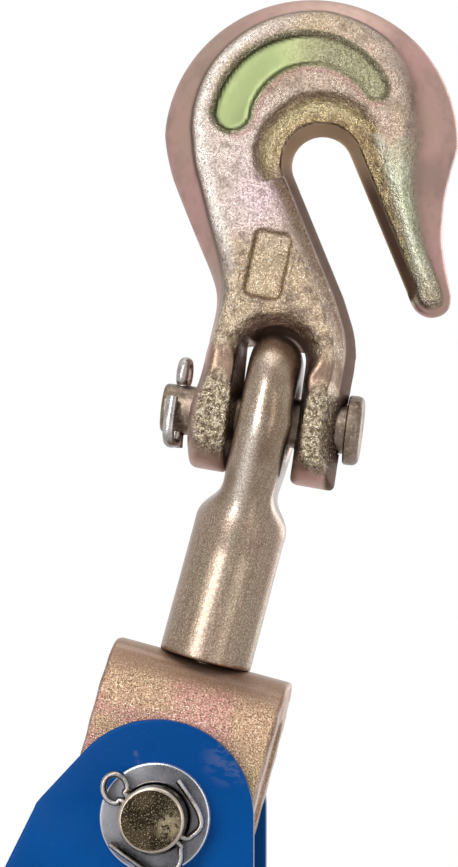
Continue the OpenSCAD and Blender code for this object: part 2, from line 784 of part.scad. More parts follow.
module drum_lock_pins() {
    color(steel) on_axle() for (a = lock_angles)
        translate(flat(polar(lock_ring_r, a))) y_pin(lock_r, -wheel_half + 0.1, wheel_half - 0.1, 0.3);
}

module rope_clamp_screw() {
    color(dark) on_axle() translate([clamp_side, 0, 0]) difference() {
        translate([0, 0, rope_hole_r + 0.3]) cylinder(r = clamp_r, h = clamp_top - rope_hole_r - 0.3);
        translate([0, 0, clamp_top - 2.4]) cylinder(d = clamp_screw_d * 0.58, h = 3, $fn = 6);
    }
}

// ---- Pawls, drawn above the drum axle with the nose in a tooth gap ----
pawl_in_r = tooth_tip_r + 0.8;
pawl_out_r = pawl_in_r + pawl_arm;
cheek_in = drum_half + 0.3;
cheek_out = wheel_half - 0.1;
pawl_at = [0, pawl_reach];
face_side = tooth_gap * [sin(tooth_phase), -cos(tooth_phase)];
bridge_at = polar((pawl_in_r + pawl_out_r) / 2, 90 + 0.62 * pawl_angle);
bridge_r = 0.35 * pawl_arm;
tab_root = 0.25 * tab_reach;
tab_neck = 0.35 * tab_reach;
tab_bend = 0.7 * tab_reach;
function face_at(r) = polar(r, tooth_phase) + face_side;

module pawl_nose() {
    polygon([polar(tooth_root_r + 0.6, tooth_phase + 4), polar(pawl_out_r, tooth_phase + 4),
        polar(pawl_out_r, tooth_phase - 16), polar(pawl_in_r + 0.2, tooth_phase - 25.5),
        polar(tooth_root_r + 0.6, tooth_phase - 3.2)]);
}

module pawl_cheek() {
    difference() {
        intersection() {
            circle(r = pawl_out_r);
            polygon([face_side, polar(2 * pawl_out_r, 88), face_at(2 * pawl_out_r)]);
        }
        difference() {
            circle(r = pawl_in_r);
            pawl_nose();
        }
    }
    polygon([pawl_at + polar(pawl_boss_r - 0.1, 145), polar(pawl_out_r - 0.5, 106), polar(pawl_in_r + 1, 100),
        polar(pawl_in_r + 1, 89), pawl_at + polar(pawl_boss_r - 0.1, -35)]);
    polygon([pawl_at + [0, pawl_boss_r - 0.1], pawl_at + [tab_neck, 1], pawl_at + [tab_neck, 1 - tab_thick],
        pawl_at + [0, -pawl_boss_r + 0.1]]);
}

module thumb_tab() {
    polygon([pawl_at + [tab_root, 1], pawl_at + [tab_root, 1 - tab_thick], pawl_at + [tab_bend, -tab_thick],
        pawl_at + [tab_reach - 1, 2.4 - tab_thick], pawl_at + [tab_reach, 1],
        pawl_at + [tab_reach - 1, 3], pawl_at + [tab_bend, 0.3]]);
}

module pawl(half) {
    difference() {
        union() {
            both_sides() in_plane(cheek_in, cheek_out) pawl_cheek();
            in_plane(-cheek_out, cheek_out) thumb_tab();
            translate(flat(bridge_at)) y_bar(bridge_r, -cheek_out, cheek_out);
            both_sides() translate(flat(pawl_at)) y_bar(pawl_boss_r, cheek_in, half - face_gap);
        }
        translate(flat(pawl_at)) y_bar(pawl_pin_r + pin_fit, -half, half);
    }
}

// The pawl swung out of the teeth about its own pin
module swung(angle) {
    translate(flat(pawl_at)) rotate([0, angle, 0]) translate(-flat(pawl_at)) children();
}

module holding_pawl() {
    color(dark) on_axle() pawl(plate_in);
}

module drive_pawl() {
    color(dark) on_handle() swung(pawl_lift) pawl(arm_in);
}

// ---- Pawl springs: a coil round the pin, one leg under the tie and one over the pawl's bridge ----
spring_r = spring_wire_d / 2;
coil_r = pawl_pin_r + 0.8 + spring_r;
coil_gap = 0.6;
coil_pitch = spring_wire_d + coil_gap;
coil_from = 280;
coil_turn = 360 * spring_turns + 170;
coil_len = coil_pitch * coil_turn / 360;
coil_rings = 8;
leg_past = 3.5;
leg_rest_gap = 0.3;
tie_rise = axle_drop - pawl_reach - tie_drop;

function clockwise(p, a) = [p.x * cos(a) + p.y * sin(a), p.y * cos(a) - p.x * sin(a)];
function coil_point(a, y) = [coil_r * cos(a), y, coil_r * sin(a)];
function spring_route(lift) =
    let (
        to_bridge = clockwise(bridge_at - pawl_at, lift) - polar(coil_r, coil_from),
        side = asin((bridge_r + spring_r + leg_rest_gap) / norm(to_bridge)),
        leg_end = polar(coil_r, coil_from)
            + polar(norm(to_bridge) + leg_past, atan2(to_bridge.y, to_bridge.x) - side),
        steps = ceil(coil_rings * coil_turn / 360),
        under_tie = tie_rise - tie_spacer_d / 2 - spring_r
    )
    concat(
        [[leg_end.x, -coil_len / 2, leg_end.y]],
        [for (k = [0 : steps]) coil_point(coil_from + coil_turn * k / steps, coil_len * (k / steps - 0.5))],
        [[-tie_side, coil_len / 2, under_tie - leg_rest_gap],
            [-tie_side - leg_past, coil_len / 2, under_tie - leg_rest_gap]]
    );

module pawl_spring(lift) {
    route = spring_route(lift);
    echo(spring_least_gap = least_gap(route, spring_r, coil_rings - 2));
    translate(flat(pawl_at)) wire(route, spring_r, spring_r, [0, 1, 0], 6);
}

module holding_pawl_spring() {
    color(steel) on_axle() pawl_spring(0);
}

module drive_pawl_spring() {
    color(steel) on_handle() pawl_spring(pawl_lift);
}

// ---- Yoke, drawn above the drum axle and turned to the handle's place ----
jog_end = jog_start + jog_len;
lap_end = jog_end + lap_len;
lap_in = tube_half + seat_gap;
lap_out = lap_in + arm_thick;
tie_at = [-tie_side, axle_drop - tie_drop];
rivet_r = rivet_d / 2;
rivet_places = [jog_end + 0.2 * lap_len, jog_end + 0.7 * lap_len];

module yoke_arm() {
    difference() {
        intersection() {
            in_plane(0, arm_out + over) {
                circle(d = arm_w);
                polygon([[-arm_w / 2, 0], [-arm_w / 2, jog_start], [-tube_half, jog_end],
                    [-tube_half, lap_end - tube_half], [tube_half, lap_end - tube_half], [tube_half, jog_end],
                    [arm_w / 2, jog_start], [arm_w / 2, 0]]);
                translate([0, lap_end - tube_half]) circle(r = tube_half);
            }
            translate([-arm_w, 0, 0]) rotate([90, 0, 90]) linear_extrude(2 * arm_w)
                polygon([[arm_in, -arm_w], [arm_out, -arm_w], [arm_out, jog_start], [lap_out, jog_end],
                    [lap_out, lap_end + over], [lap_in, lap_end + over], [lap_in, jog_end], [arm_in, jog_start]]);
        }
        y_bar(axle_r + turn_fit, 0, arm_out + over);
        translate(flat(pawl_at)) y_bar(pawl_pin_r + pin_fit, 0, arm_out + over);
        translate(flat(tie_at)) y_bar(tie_r + pin_fit, 0, arm_out + over);
        for (z = rivet_places) translate([0, 0, z]) y_bar(rivet_r + pin_fit, 0, arm_out + over);
    }
}

module front_yoke_arm() {
    color(blue) on_handle() mirror([0, 1, 0]) yoke_arm();
}

module back_yoke_arm() {
    color(blue) on_handle() yoke_arm();
}

module yoke_spacer() {
    color(steel) on_handle() translate(flat(tie_at)) tie_spacer(arm_in);
}

module yoke_bolt() {
    color(steel) on_handle() translate(flat(tie_at)) tie_bolt(arm_out);
}

module yoke_nut() {
    color(steel) on_handle() translate(flat(tie_at)) tie_nut(arm_out);
}

// ---- Handle ----
tube_from = jog_end - 6;
tube_to = tube_from + tube_len;
grip_from = tube_to + grip_wall - grip_len;
rib_pitch = (grip_len - 2 * grip_wall) / (rib_count + 1);

module handle_tube() {
    color(blue) on_handle() difference() {
        translate([0, 0, tube_from]) difference() {
            cylinder(r = tube_half, h = tube_len);
            translate([0, 0, -over]) cylinder(r = tube_half - tube_wall, h = tube_len + 2 * over);
        }
        for (z = rivet_places) translate([0, 0, z]) y_bar(rivet_r + pin_fit, -tube_d, tube_d);
    }
}

module handle_rivets() {
    color(steel) on_handle() for (z = rivet_places) translate([0, 0, z]) {
        y_bar(rivet_r, -lap_out - seat_gap - 1, lap_out + seat_gap + 1);
        both_sides() y_pin(1.65 * rivet_r, lap_out + seat_gap, lap_out + seat_gap + 3, 1.2);
    }
}

module handle_grip() {
    grip_in = tube_half + seat_gap;
    grip_r = grip_in + grip_wall;
    color(black) on_handle() translate([0, 0, grip_from]) rotate_extrude() {
        translate([grip_in, 0]) square([grip_wall, grip_len]);
        translate([0, grip_len - grip_wall + seat_gap]) square([grip_r, grip_wall - seat_gap]);
        translate([grip_in, 0]) square([grip_wall + 1.6, 3]);
        for (k = [1 : rib_count]) translate([grip_r - 0.3, k * rib_pitch - 1.6 + 1]) square([rib_h + 0.3, 3.2]);
    }
}

anchor_hook();
clevis_pin();
clevis_cotter();
swivel_eye();
swivel_collar();
saddle();
front_plate();
back_plate();
anchor_pin();
anchor_washer();
anchor_cotter();
tie_spacers();
tie_bolts();
tie_nuts();
holding_pawl_pin();
holding_pawl_rings();
drum_axle();
axle_washers();
axle_nut();
drum_barrel();
front_ratchet();
back_ratchet();
drum_bushing();
drum_lock_pins();
rope_clamp_screw();
holding_pawl();
holding_pawl_spring();
front_yoke_arm();
back_yoke_arm();
yoke_spacer();
yoke_bolt();
yoke_nut();
drive_pawl_pin();
drive_pawl_rings();
handle_tube();
handle_rivets();
handle_grip();
drive_pawl();
drive_pawl_spring();
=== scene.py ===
import json
import math

import bmesh
import bpy
import numpy as np
from mathutils import Matrix, Vector


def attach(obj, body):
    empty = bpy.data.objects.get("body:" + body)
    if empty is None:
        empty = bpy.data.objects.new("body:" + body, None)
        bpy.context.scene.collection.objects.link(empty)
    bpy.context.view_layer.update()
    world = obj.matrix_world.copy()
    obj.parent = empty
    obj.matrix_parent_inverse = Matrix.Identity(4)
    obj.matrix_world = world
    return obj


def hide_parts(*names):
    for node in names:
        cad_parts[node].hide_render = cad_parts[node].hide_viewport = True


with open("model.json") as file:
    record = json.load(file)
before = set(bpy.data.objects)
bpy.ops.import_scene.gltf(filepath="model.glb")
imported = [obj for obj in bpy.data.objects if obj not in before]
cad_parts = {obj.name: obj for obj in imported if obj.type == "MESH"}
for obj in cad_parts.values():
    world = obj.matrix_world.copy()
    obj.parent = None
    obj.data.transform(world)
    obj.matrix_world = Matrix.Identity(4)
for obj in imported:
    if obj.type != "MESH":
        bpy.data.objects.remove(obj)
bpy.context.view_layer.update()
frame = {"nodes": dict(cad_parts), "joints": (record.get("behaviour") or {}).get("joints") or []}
print("frame loaded")

mm = 0.001
jointAt = {j["name"]: Vector(j["pos_m"]) for j in frame["joints"]}


def turnedBy(x=0.0, y=0.0, z=0.0):                 # turns about X, then Y, then Z, in degrees
    return (Matrix.Rotation(math.radians(z), 4, "Z") @ Matrix.Rotation(math.radians(y), 4, "Y")
            @ Matrix.Rotation(math.radians(x), 4, "X"))


leans = {"hookTip": -8.0, "hookLean": -8.0, "frameLean": 6.6}
onPull = Matrix.Translation(jointAt["hook_pivot"])
onHook = onPull @ turnedBy(x=leans["hookTip"], y=leans["hookLean"])
onFrame = Matrix.Translation(jointAt["saddle_pivot"]) @ turnedBy(y=leans["frameLean"])
onAxle = Matrix.Translation(jointAt["drum_turn"]) @ turnedBy(y=leans["frameLean"])
onHandle = onAxle @ turnedBy(y=180)


def addObject(name, data):
    made = bpy.data.objects.new(name, data)
    bpy.context.collection.objects.link(made)
    return made


# camera
shot = {"target": (-3.7, -7.0, -54.6), "azimuth": 4.4, "elevation": 0.4, "roll": 15.0, "distance": 1.0,
        "lens": 215.5, "sensor": 36.0, "clipEnd": 50.0}


def addCamera(shot):
    az, el, roll = (math.radians(shot[k]) for k in ("azimuth", "elevation", "roll"))
    back = Vector((math.sin(az) * math.cos(el), -math.cos(az) * math.cos(el), math.sin(el)))
    lean = Vector((-math.sin(roll), 0, math.cos(roll)))
    right = lean.cross(back).normalized()
    up = back.cross(right)
    data = bpy.data.cameras.new("studioCamera")
    data.lens, data.sensor_width, data.sensor_fit = shot["lens"], shot["sensor"], "AUTO"
    data.clip_end = shot["clipEnd"]
    camera = addObject("studioCamera", data)
    turn = Matrix((right, up, back)).transposed().to_4x4()
    camera.matrix_world = Matrix.Translation(Vector(shot["target"]) * mm + back * shot["distance"]) @ turn
    bpy.context.scene.camera = camera


addCamera(shot)


# materials: sockets that can be added and multiplied
class Signal:
    def __init__(self, owner, socket):
        self.owner, self.socket = owner, socket

    def __add__(self, other):
        return self.owner.maths("ADD", self, other)

    def __sub__(self, other):
        return self.owner.maths("SUBTRACT", self, other)

    def __rsub__(self, other):
        return self.owner.maths("SUBTRACT", other, self)

    def __mul__(self, other):
        return self.owner.maths("MULTIPLY", self, other)

    def __truediv__(self, other):
        return self.owner.maths("DIVIDE", self, other)

    __radd__ = __add__
    __rmul__ = __mul__


class NodeWork:                                     # adds nodes to whichever tree it holds
    def feed(self, socket, value):
        if isinstance(value, Signal):
            self.tree.links.new(value.socket, socket)
        else:
            socket.default_value = value

    def node(self, kind, settings=None, inputs=None, output=0):
        made = self.tree.nodes.new(kind)
        for key, value in (settings or {}).items():
            setattr(made, key, value)
        for key, value in (inputs or {}).items():
            self.feed(made.inputs[key], value)
        return made if output is None else Signal(self, made.outputs[output])

    def maths(self, operation, *values):
        return self.node("ShaderNodeMath", {"operation": operation}, dict(enumerate(values)))


class Finish(NodeWork):
    def __init__(self, name, plain):
        self.material = bpy.data.materials.new(name)
        self.material.use_nodes = True
        self.tree = self.material.node_tree
        self.tree.nodes.clear()
        self.shader = self.tree.nodes.new("ShaderNodeBsdfPrincipled")
        end = self.tree.nodes.new("ShaderNodeOutputMaterial")
        self.tree.links.new(self.shader.outputs[0], end.inputs[0])
        self.where = self.node("ShaderNodeTexCoord", output="Object")
        self.set(plain)

    def set(self, values):                          # values or signals for the shader's own sockets
        for key, value in values.items():
            self.feed(self.shader.inputs[key], value)

    def mix(self, share, first, second, blend="MIX"):
        return self.node("ShaderNodeMix", {"data_type": "RGBA", "blend_type": blend},
                         {0: share, 6: first, 7: second}, 2)

    def noise(self, scale, detail=2.0, roughness=0.5, stretch=None, distortion=0.0):
        place = self.where
        if stretch:
            place = self.node("ShaderNodeMapping", inputs={"Vector": place, "Scale": stretch})
        return self.node("ShaderNodeTexNoise", inputs={
            "Vector": place, "Scale": scale, "Detail": detail, "Roughness": roughness,
            "Distortion": distortion})

    def step(self, value, low, high):
        return self.node("ShaderNodeMapRange", {"interpolation_type": "SMOOTHSTEP"}, {
            "Value": value, "From Min": low, "From Max": high, "To Min": 0.0, "To Max": 1.0})

    def mark(self, name):                           # a value kept on the mesh's own points
        return self.node("ShaderNodeAttribute", {"attribute_name": name}, output="Fac")

    def layered(self, colour, look, layers):        # zone by zone, each with its share and its tone
        for zone, share, *tone in layers:
            colour = self.mix(self.mark(zone) * share, colour, look[tone[0] if tone else zone])
        return colour

    def bump(self, height, distance, strength=1.0, under=None):
        inputs = {"Height": height, "Distance": distance, "Strength": strength}
        if under:
            inputs["Normal"] = under
        return self.node("ShaderNodeBump", inputs=inputs)


def tint(red, green, blue):                         # a screen colour from 0 to 255, made linear
    return tuple((c / 255 / 12.92) if c < 10.31 else ((c / 255 + 0.055) / 1.055) ** 2.4
                 for c in (red, green, blue)) + (1.0,)


# meshes
def addPiece(name, mesh, body, finish, stands=(), smooth=30):
    piece = addObject(name, mesh)
    mesh.materials.clear()
    mesh.materials.append(finish)
    mesh.polygons.foreach_set("use_smooth", [True] * len(mesh.polygons))
    if smooth < 180:
        mesh.set_sharp_from_angle(angle=math.radians(smooth))
    mesh.update()
    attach(piece, body)
    if stands:
        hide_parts(*stands)
    return piece


def meshOf(name, points, faces, place=None):        # points in millimetres
    mesh = bpy.data.meshes.new(name)
    mesh.from_pydata([tuple(p) for p in np.asarray(points) * mm], [], [tuple(f) for f in faces])
    if place is not None:
        mesh.transform(place)
    mesh.update()
    return mesh


def keepMarks(mesh, marks):                         # a value for each point, which the materials read
    for name, values in marks.items():
        attribute = mesh.attributes.new(name, "FLOAT", "POINT")
        attribute.data.foreach_set("value", np.asarray(values).astype(np.float32))


def reworked(mesh, change):                         # a change made on the mesh's faces, edges and points
    work = bmesh.new()
    work.from_mesh(mesh)
    change(work)
    work.to_mesh(mesh)
    work.free()


def addBevel(holder, width, angle):                 # breaks the edges that are sharper than the angle
    edge = holder.modifiers.new("edge", "BEVEL")
    edge.width, edge.segments, edge.limit_method = width * mm, 2, "ANGLE"
    edge.angle_limit, edge.use_clamp_overlap = math.radians(angle), True


def plainMesh(holder):                              # the mesh that an object's modifiers leave, without it
    seen = holder.evaluated_get(bpy.context.evaluated_depsgraph_get())
    mesh = bpy.data.meshes.new_from_object(seen)
    bpy.data.objects.remove(holder)
    return mesh


def netOf(field, low, high, cell):                  # a closed skin round the field's negative places
    low = np.array(low, float)
    count = np.ceil((np.array(high) - low) / cell).astype(int) + 1
    axes = [low[i] + cell * np.arange(count[i]) for i in range(3)]
    spots = np.stack(np.meshgrid(*axes, indexing="ij"), -1).reshape(-1, 3)
    grid = field(spots).reshape(count)
    total = np.zeros(tuple(count - 1) + (3,))
    hits = np.zeros(tuple(count - 1))
    index = np.arange(hits.size).reshape(hits.shape)
    quads = []
    for axis in range(3):
        p, q = (axis + 1) % 3, (axis + 2) % 3
        near = grid.take(range(count[axis] - 1), axis)
        far = grid.take(range(1, count[axis]), axis)
        crossing = (near < 0) != (far < 0)
        share = np.where(crossing, near / np.where(crossing, near - far, 1), 0)
        for dp in (0, 1):
            for dq in (0, 1):
                part = [slice(None)] * 3
                part[p] = slice(dp, count[p] - 1 + dp)
                part[q] = slice(dq, count[q] - 1 + dq)
                cut = crossing[tuple(part)]
                total[..., axis] += share[tuple(part)]
                total[..., p] += cut * dp
                total[..., q] += cut * dq
                hits += cut
        core = [slice(None)] * 3
        core[p], core[q] = slice(1, count[p] - 1), slice(1, count[q] - 1)
        found = np.argwhere(crossing[tuple(core)])
        found[:, p] += 1
        found[:, q] += 1
        corners = []
        for dp, dq in ((0, 0), (1, 0), (1, 1), (0, 1)):
            at = found.copy()
            at[:, p] -= dp
            at[:, q] -= dq
            corners.append(index[tuple(at.T)])
        quad = np.stack(corners, 1)
        turned = near[tuple(found.T)] >= 0
        quad[turned] = quad[turned][:, ::-1]
        quads.append(quad)
    quads = np.concatenate(quads)
    used = np.unique(quads)
    cells = np.stack(np.unravel_index(used, hits.shape), 1)
    points = low + cell * (cells + total.reshape(-1, 3)[used] / hits.reshape(-1)[used][:, None])
    return points, np.searchsorted(used, quads)


def settled(points, field, rounds=3, reach=0.4):    # moves points along the field's slope onto its skin
    step = 0.02
    for _ in range(rounds):
        value = field(points)
        slope = np.stack([field(points + step * np.eye(3)[i]) - field(points - step * np.eye(3)[i])
                          for i in range(3)], 1) / (2 * step)
        move = value[:, None] * slope / np.maximum((slope ** 2).sum(1), 0.1)[:, None]
        size = np.linalg.norm(move, axis=1)
        points = points - move * np.minimum(1, reach / np.maximum(size, 1e-9))[:, None]
    return points


def distanceTo(spots, line, closed=False):          # least distance from flat spots to a line of points
    least = np.full(len(spots), 1e9)
    ends = np.roll(line, -1, 0) if closed else line[1:]
    for a, b in zip(line, ends):
        along = b - a
        share = np.clip(((spots - a) @ along) / max(along @ along, 1e-12), 0, 1)
        least = np.minimum(least, ((spots - a - share[:, None] * along) ** 2).sum(1))
    return np.sqrt(least)


def isInside(spots, line):
    inside = np.zeros(len(spots), bool)
    for a, b in zip(line, np.roll(line, -1, 0)):
        if a[1] != b[1]:
            across = (a[1] > spots[:, 1]) != (b[1] > spots[:, 1])
            slope = (b[0] - a[0]) / (b[1] - a[1])
            inside ^= across & (spots[:, 0] < a[0] + (spots[:, 1] - a[1]) * slope)
    return inside


def smoothStep(x):
    x = np.clip(x, 0, 1)
    return x * x * (3 - 2 * x)


def softMax(a, b, r):                               # the greater of two fields, rounded where they meet
    return np.maximum(a, b) + np.maximum(r - np.abs(a - b), 0) ** 2 / (4 * r)


def softMin(a, b, r):
    return -softMax(-a, -b, r)


def arc(at, r, start, end, steps):
    a = np.radians(np.linspace(start, end, steps))
    return np.stack([at[0] + r * np.cos(a), at[1] + r * np.sin(a)], 1)


def easedLine(points, steps=6):                     # a smooth line through points
    p = np.array(points, float)
    out = []
    for i in range(len(p) - 1):
        a, b, c, d = p[max(i - 1, 0)], p[i], p[i + 1], p[min(i + 2, len(p) - 1)]
        for t in np.arange(steps) / steps:
            out.append(0.5 * (2 * b + (c - a) * t + (2 * a - 5 * b + 4 * c - d) * t ** 2
                              + (3 * b - a - 3 * c + d) * t ** 3))
    out.append(p[-1])
    return np.array(out)


# turned pieces
def closeTurned(work):
    bmesh.ops.remove_doubles(work, verts=work.verts, dist=1e-7)
    bmesh.ops.recalc_face_normals(work, faces=work.faces)


def turnedPiece(name, profile, steps=64, flats=0.0, place=None):   # profile is radius and place along Y
    profile = np.array(profile, float)
    angles = np.linspace(0, 2 * math.pi, steps, endpoint=False)
    cut = np.full(steps, 1e3)
    if flats:                                       # a hexagon limits the radius
        cut = flats / 2 / np.cos((angles + math.pi / 6) % (math.pi / 3) - math.pi / 6)
    points, rings = [], []
    for r, y in profile:
        if r == 0:
            rings.append([len(points)])
            points.append((0, y, 0))
            continue
        rings.append(range(len(points), len(points) + steps))
        reach = np.minimum(r, cut)
        points.extend(zip(reach * np.cos(angles), np.full(steps, y), reach * np.sin(angles)))
    faces = []
    closed = profile[0][0] > 0
    pairs = list(zip(rings, rings[1:])) + ([(rings[-1], rings[0])] if closed else [])
    for one, two in pairs:
        for k in range(steps):
            n = (k + 1) % steps
            face = [one[k % len(one)], one[n % len(one)], two[n % len(two)], two[k % len(two)]]
            faces.append(list(dict.fromkeys(face)))
    mesh = meshOf(name, points, faces)
    reworked(mesh, closeTurned)
    if place is not None:
        mesh.transform(place)
    return mesh


def rounded(r, y, ease, turn, steps=4):             # a rounded corner: turn gives the quarter that it covers
    a = np.radians(np.linspace(turn, turn + 90, steps + 1))
    return [(r + ease * math.cos(k), y + ease * math.sin(k)) for k in a]


# Geometry Nodes: a tree with named inputs, run once on a mesh and kept as a plain mesh
class Growth(NodeWork):
    def __init__(self, name, sizes):
        self.tree = bpy.data.node_groups.new(name, "GeometryNodeTree")
        side = self.tree.interface
        side.new_socket("Geometry", in_out="INPUT", socket_type="NodeSocketGeometry")
        kinds = {"Material": "NodeSocketMaterial", "Piece": "NodeSocketObject"}
        for key, value in sizes.items():
            kind = kinds.get(key, "NodeSocketInt" if isinstance(value, int) else "NodeSocketFloat")
            socket = side.new_socket(key, in_out="INPUT", socket_type=kind)
            if value is not None:
                socket.default_value = value
        side.new_socket("Geometry", in_out="OUTPUT", socket_type="NodeSocketGeometry")
        self.begin = self.tree.nodes.new("NodeGroupInput")
        self.end = self.tree.nodes.new("NodeGroupOutput")

    def __getitem__(self, name):
        return Signal(self, self.begin.outputs[name])

    def vector(self, x, y, z):
        return self.node("ShaderNodeCombineXYZ", inputs={0: x, 1: y, 2: z})

    def close(self, geometry):                      # the tree's last nodes
        real = self.node("GeometryNodeRealizeInstances", inputs={0: geometry})
        dressed = self.node("GeometryNodeSetMaterial", inputs={
            "Geometry": real, "Material": self["Material"]})
        self.tree.links.new(dressed.socket, self.end.inputs[0])
        return self

    def grow(self, name, mesh, values, bevel=0.0):
        holder = addObject(name, mesh)
        modifier = holder.modifiers.new("growth", "NODES")
        modifier.node_group = self.tree
        for item in self.tree.interface.items_tree:
            if item.in_out == "INPUT" and item.name in values:
                modifier[item.identifier] = values[item.name]
        if bevel:
            addBevel(holder, bevel, 35)
        result = plainMesh(holder)
        result.name = name
        return result


def wireGrowth(name, flat):                         # a wire along a line; a flat one lies in the XY plane
    g = Growth(name, {"Radius": 0.001, "Wide": 1.0, "Sides": 12, "Material": None})
    line = g.node("GeometryNodeMeshToCurve", inputs={0: g["Geometry"]})
    if flat:
        line = g.node("GeometryNodeSetCurveNormal", {"mode": "Z_UP"}, {"Curve": line})
    ring = g.node("GeometryNodeCurvePrimitiveCircle", inputs={
        "Resolution": g["Sides"], "Radius": g["Radius"]})
    ring = g.node("GeometryNodeTransform", inputs={
        "Geometry": ring, "Scale": g.vector(1.0, g["Wide"], 1.0)})
    tube = g.node("GeometryNodeCurveToMesh", inputs={
        "Curve": line, "Profile Curve": ring, "Fill Caps": True})
    return g.close(tube)


def repeatGrowth():                                 # one piece set down on each point, turned a little
    g = Growth("repeatTree", {"Piece": None, "Seed": 3, "Turn": 0.0, "Material": None})
    piece = g.node("GeometryNodeObjectInfo", output="Geometry", inputs={
        "Object": g["Piece"], "As Instance": True})
    turn = g.node("FunctionNodeRandomValue", {"data_type": "FLOAT"}, {
        2: 0.0, 3: g["Turn"], "Seed": g["Seed"]}, 1)
    base = g.node("GeometryNodeInputNamedAttribute", {"data_type": "FLOAT"}, {"Name": "turn"})
    side = g.node("GeometryNodeInputNamedAttribute", {"data_type": "FLOAT"}, {"Name": "flip"})
    placed = g.node("GeometryNodeInstanceOnPoints", inputs={
        "Points": g["Geometry"], "Instance": piece, "Rotation": g.vector(side * math.pi, turn + base, 0.0)})
    return g.close(placed)


springTree = wireGrowth("springTree", False)
splitPinTree = wireGrowth("splitPinTree", True)
repeatTree = repeatGrowth()


def wirePiece(name, tree, points, radius, finish, place, wide=1.0, sides=12):
    line = bpy.data.meshes.new(name + "Line")
    links = [(k, k + 1) for k in range(len(points) - 1)]
    line.from_pydata([tuple(p) for p in np.asarray(points) * mm], links, [])
    mesh = tree.grow(name, line, {"Radius": radius * mm, "Wide": wide, "Sides": sides, "Material": finish})
    mesh.transform(place)
    return mesh


def repeated(name, proto, spots, finish, place, turn=0.0, seed=3):   # spots: x, y, z, turn, flip
    spots = np.array(spots, float)
    points = bpy.data.meshes.new(name + "Spots")
    points.from_pydata([tuple(p) for p in spots[:, :3] * mm], [], [])
    keepMarks(points, {"turn": spots[:, 3], "flip": spots[:, 4]})
    single = bpy.data.objects.new(name + "Single", proto)
    mesh = repeatTree.grow(name, points, {"Piece": single, "Seed": seed, "Turn": turn, "Material": finish})
    bpy.data.objects.remove(single)
    mesh.transform(place)
    return mesh


# anchor hook
hook = {"seat": (3.8, 50.6), "slotRadius": 5.8, "slant": 29.3, "slotWall": 25.6, "tineWall": 29.3,
        "bowAt": (1.05, 54.8), "bowRadius": 28.5, "gapHalf": 5.43, "gapMiddle": 0.12, "crotch": 16.95,
        "pinHole": 4.85, "earReach": 11.4, "earBottom": -12.5, "parting": 1.2, "wall": 2.0,
        "kidneyAt": (0.4, 56.5), "kidneyTurnAt": (0.4, 56.3), "kidneySweep": 15.2, "kidneyDepth": 1.0,
        "tagAt": (-3.5, 28.6), "tagHalf": (3.5, 6.5), "tagCorner": 1.4, "tagLean": 4.0, "tagDepth": 0.95,
        "earTaper": 0.05, "webTop": 19.5, "webBack": 8.2, "roomTop": 14.6, "eyeHalf": 5.38, "eyeLean": 0.17,
        "eyeSwing": (0.974, 0.225), "cell": 0.5}


def hookLines(hook):
    seat = np.array(hook["seat"])
    slant = math.radians(hook["slant"])
    down = np.array([math.sin(slant), -math.cos(slant)])
    left = np.array([-math.cos(slant), -math.sin(slant)])
    shankEnd = seat + hook["slotRadius"] * left
    tineStart = seat - hook["slotRadius"] * left
    tineTip = tineStart + hook["tineWall"] * down
    shankTip = shankEnd + hook["slotWall"] * down
    bottom = hook["earBottom"]
    leftFlank = easedLine([(-14, bottom), (-14.3, -9.5), (-14.9, -3), (-14.7, 1), (-13.9, 6.6), (-13.6, 11.7),
                           (-13.1, 17), (-12.9, 20.5), (-13.4, 23.8), (-15, 27.4), (-17.5, 31.8), (-20, 36.2),
                           (-22.5, 40.7), (-24.8, 45.1), (-26.5, 49.7), (-27.35, 53)], 5)
    bow = arc(hook["bowAt"], hook["bowRadius"], 180, 5, 56)
    tineBack = easedLine([(28.7, 52.5), (28.2, 47.3), (28.3, 43.3), (28.6, 39.4), (29.5, 35.5), (30.7, 31.7),
                          (31.8, 27.9), (31.5, 25.6), (29.9, 24.1), (27.5, 23.7), (25.1, 24.9), tineTip], 4)
    outer = np.concatenate([leftFlank, bow, tineBack])
    slotTop = arc(seat, hook["slotRadius"], hook["slant"], 180 + hook["slant"], 24)
    side = easedLine([shankTip, (13.1, 21.4), (14.4, 18), (15.2, 13.5), (15.1, 9), (14.7, 2), (14.4, -6),
                      (14.3, bottom)], 5)
    crotchTop = arc((hook["gapMiddle"], hook["crotch"] - hook["gapHalf"]), hook["gapHalf"], 0, 180, 20)
    crotch = np.concatenate([[(5.4, bottom), (5.5, -4), (5.55, 4)], crotchTop,
                             [(-5.3, 4), (-6.0, -4), (-6.6, bottom)]])
    return {"outer": outer, "slot": np.concatenate([[tineTip], slotTop, side]), "crotch": crotch,
            "whole": np.concatenate([outer, slotTop, side, crotch]), "down": down, "tineStart": tineStart}


hookLine = hookLines(hook)


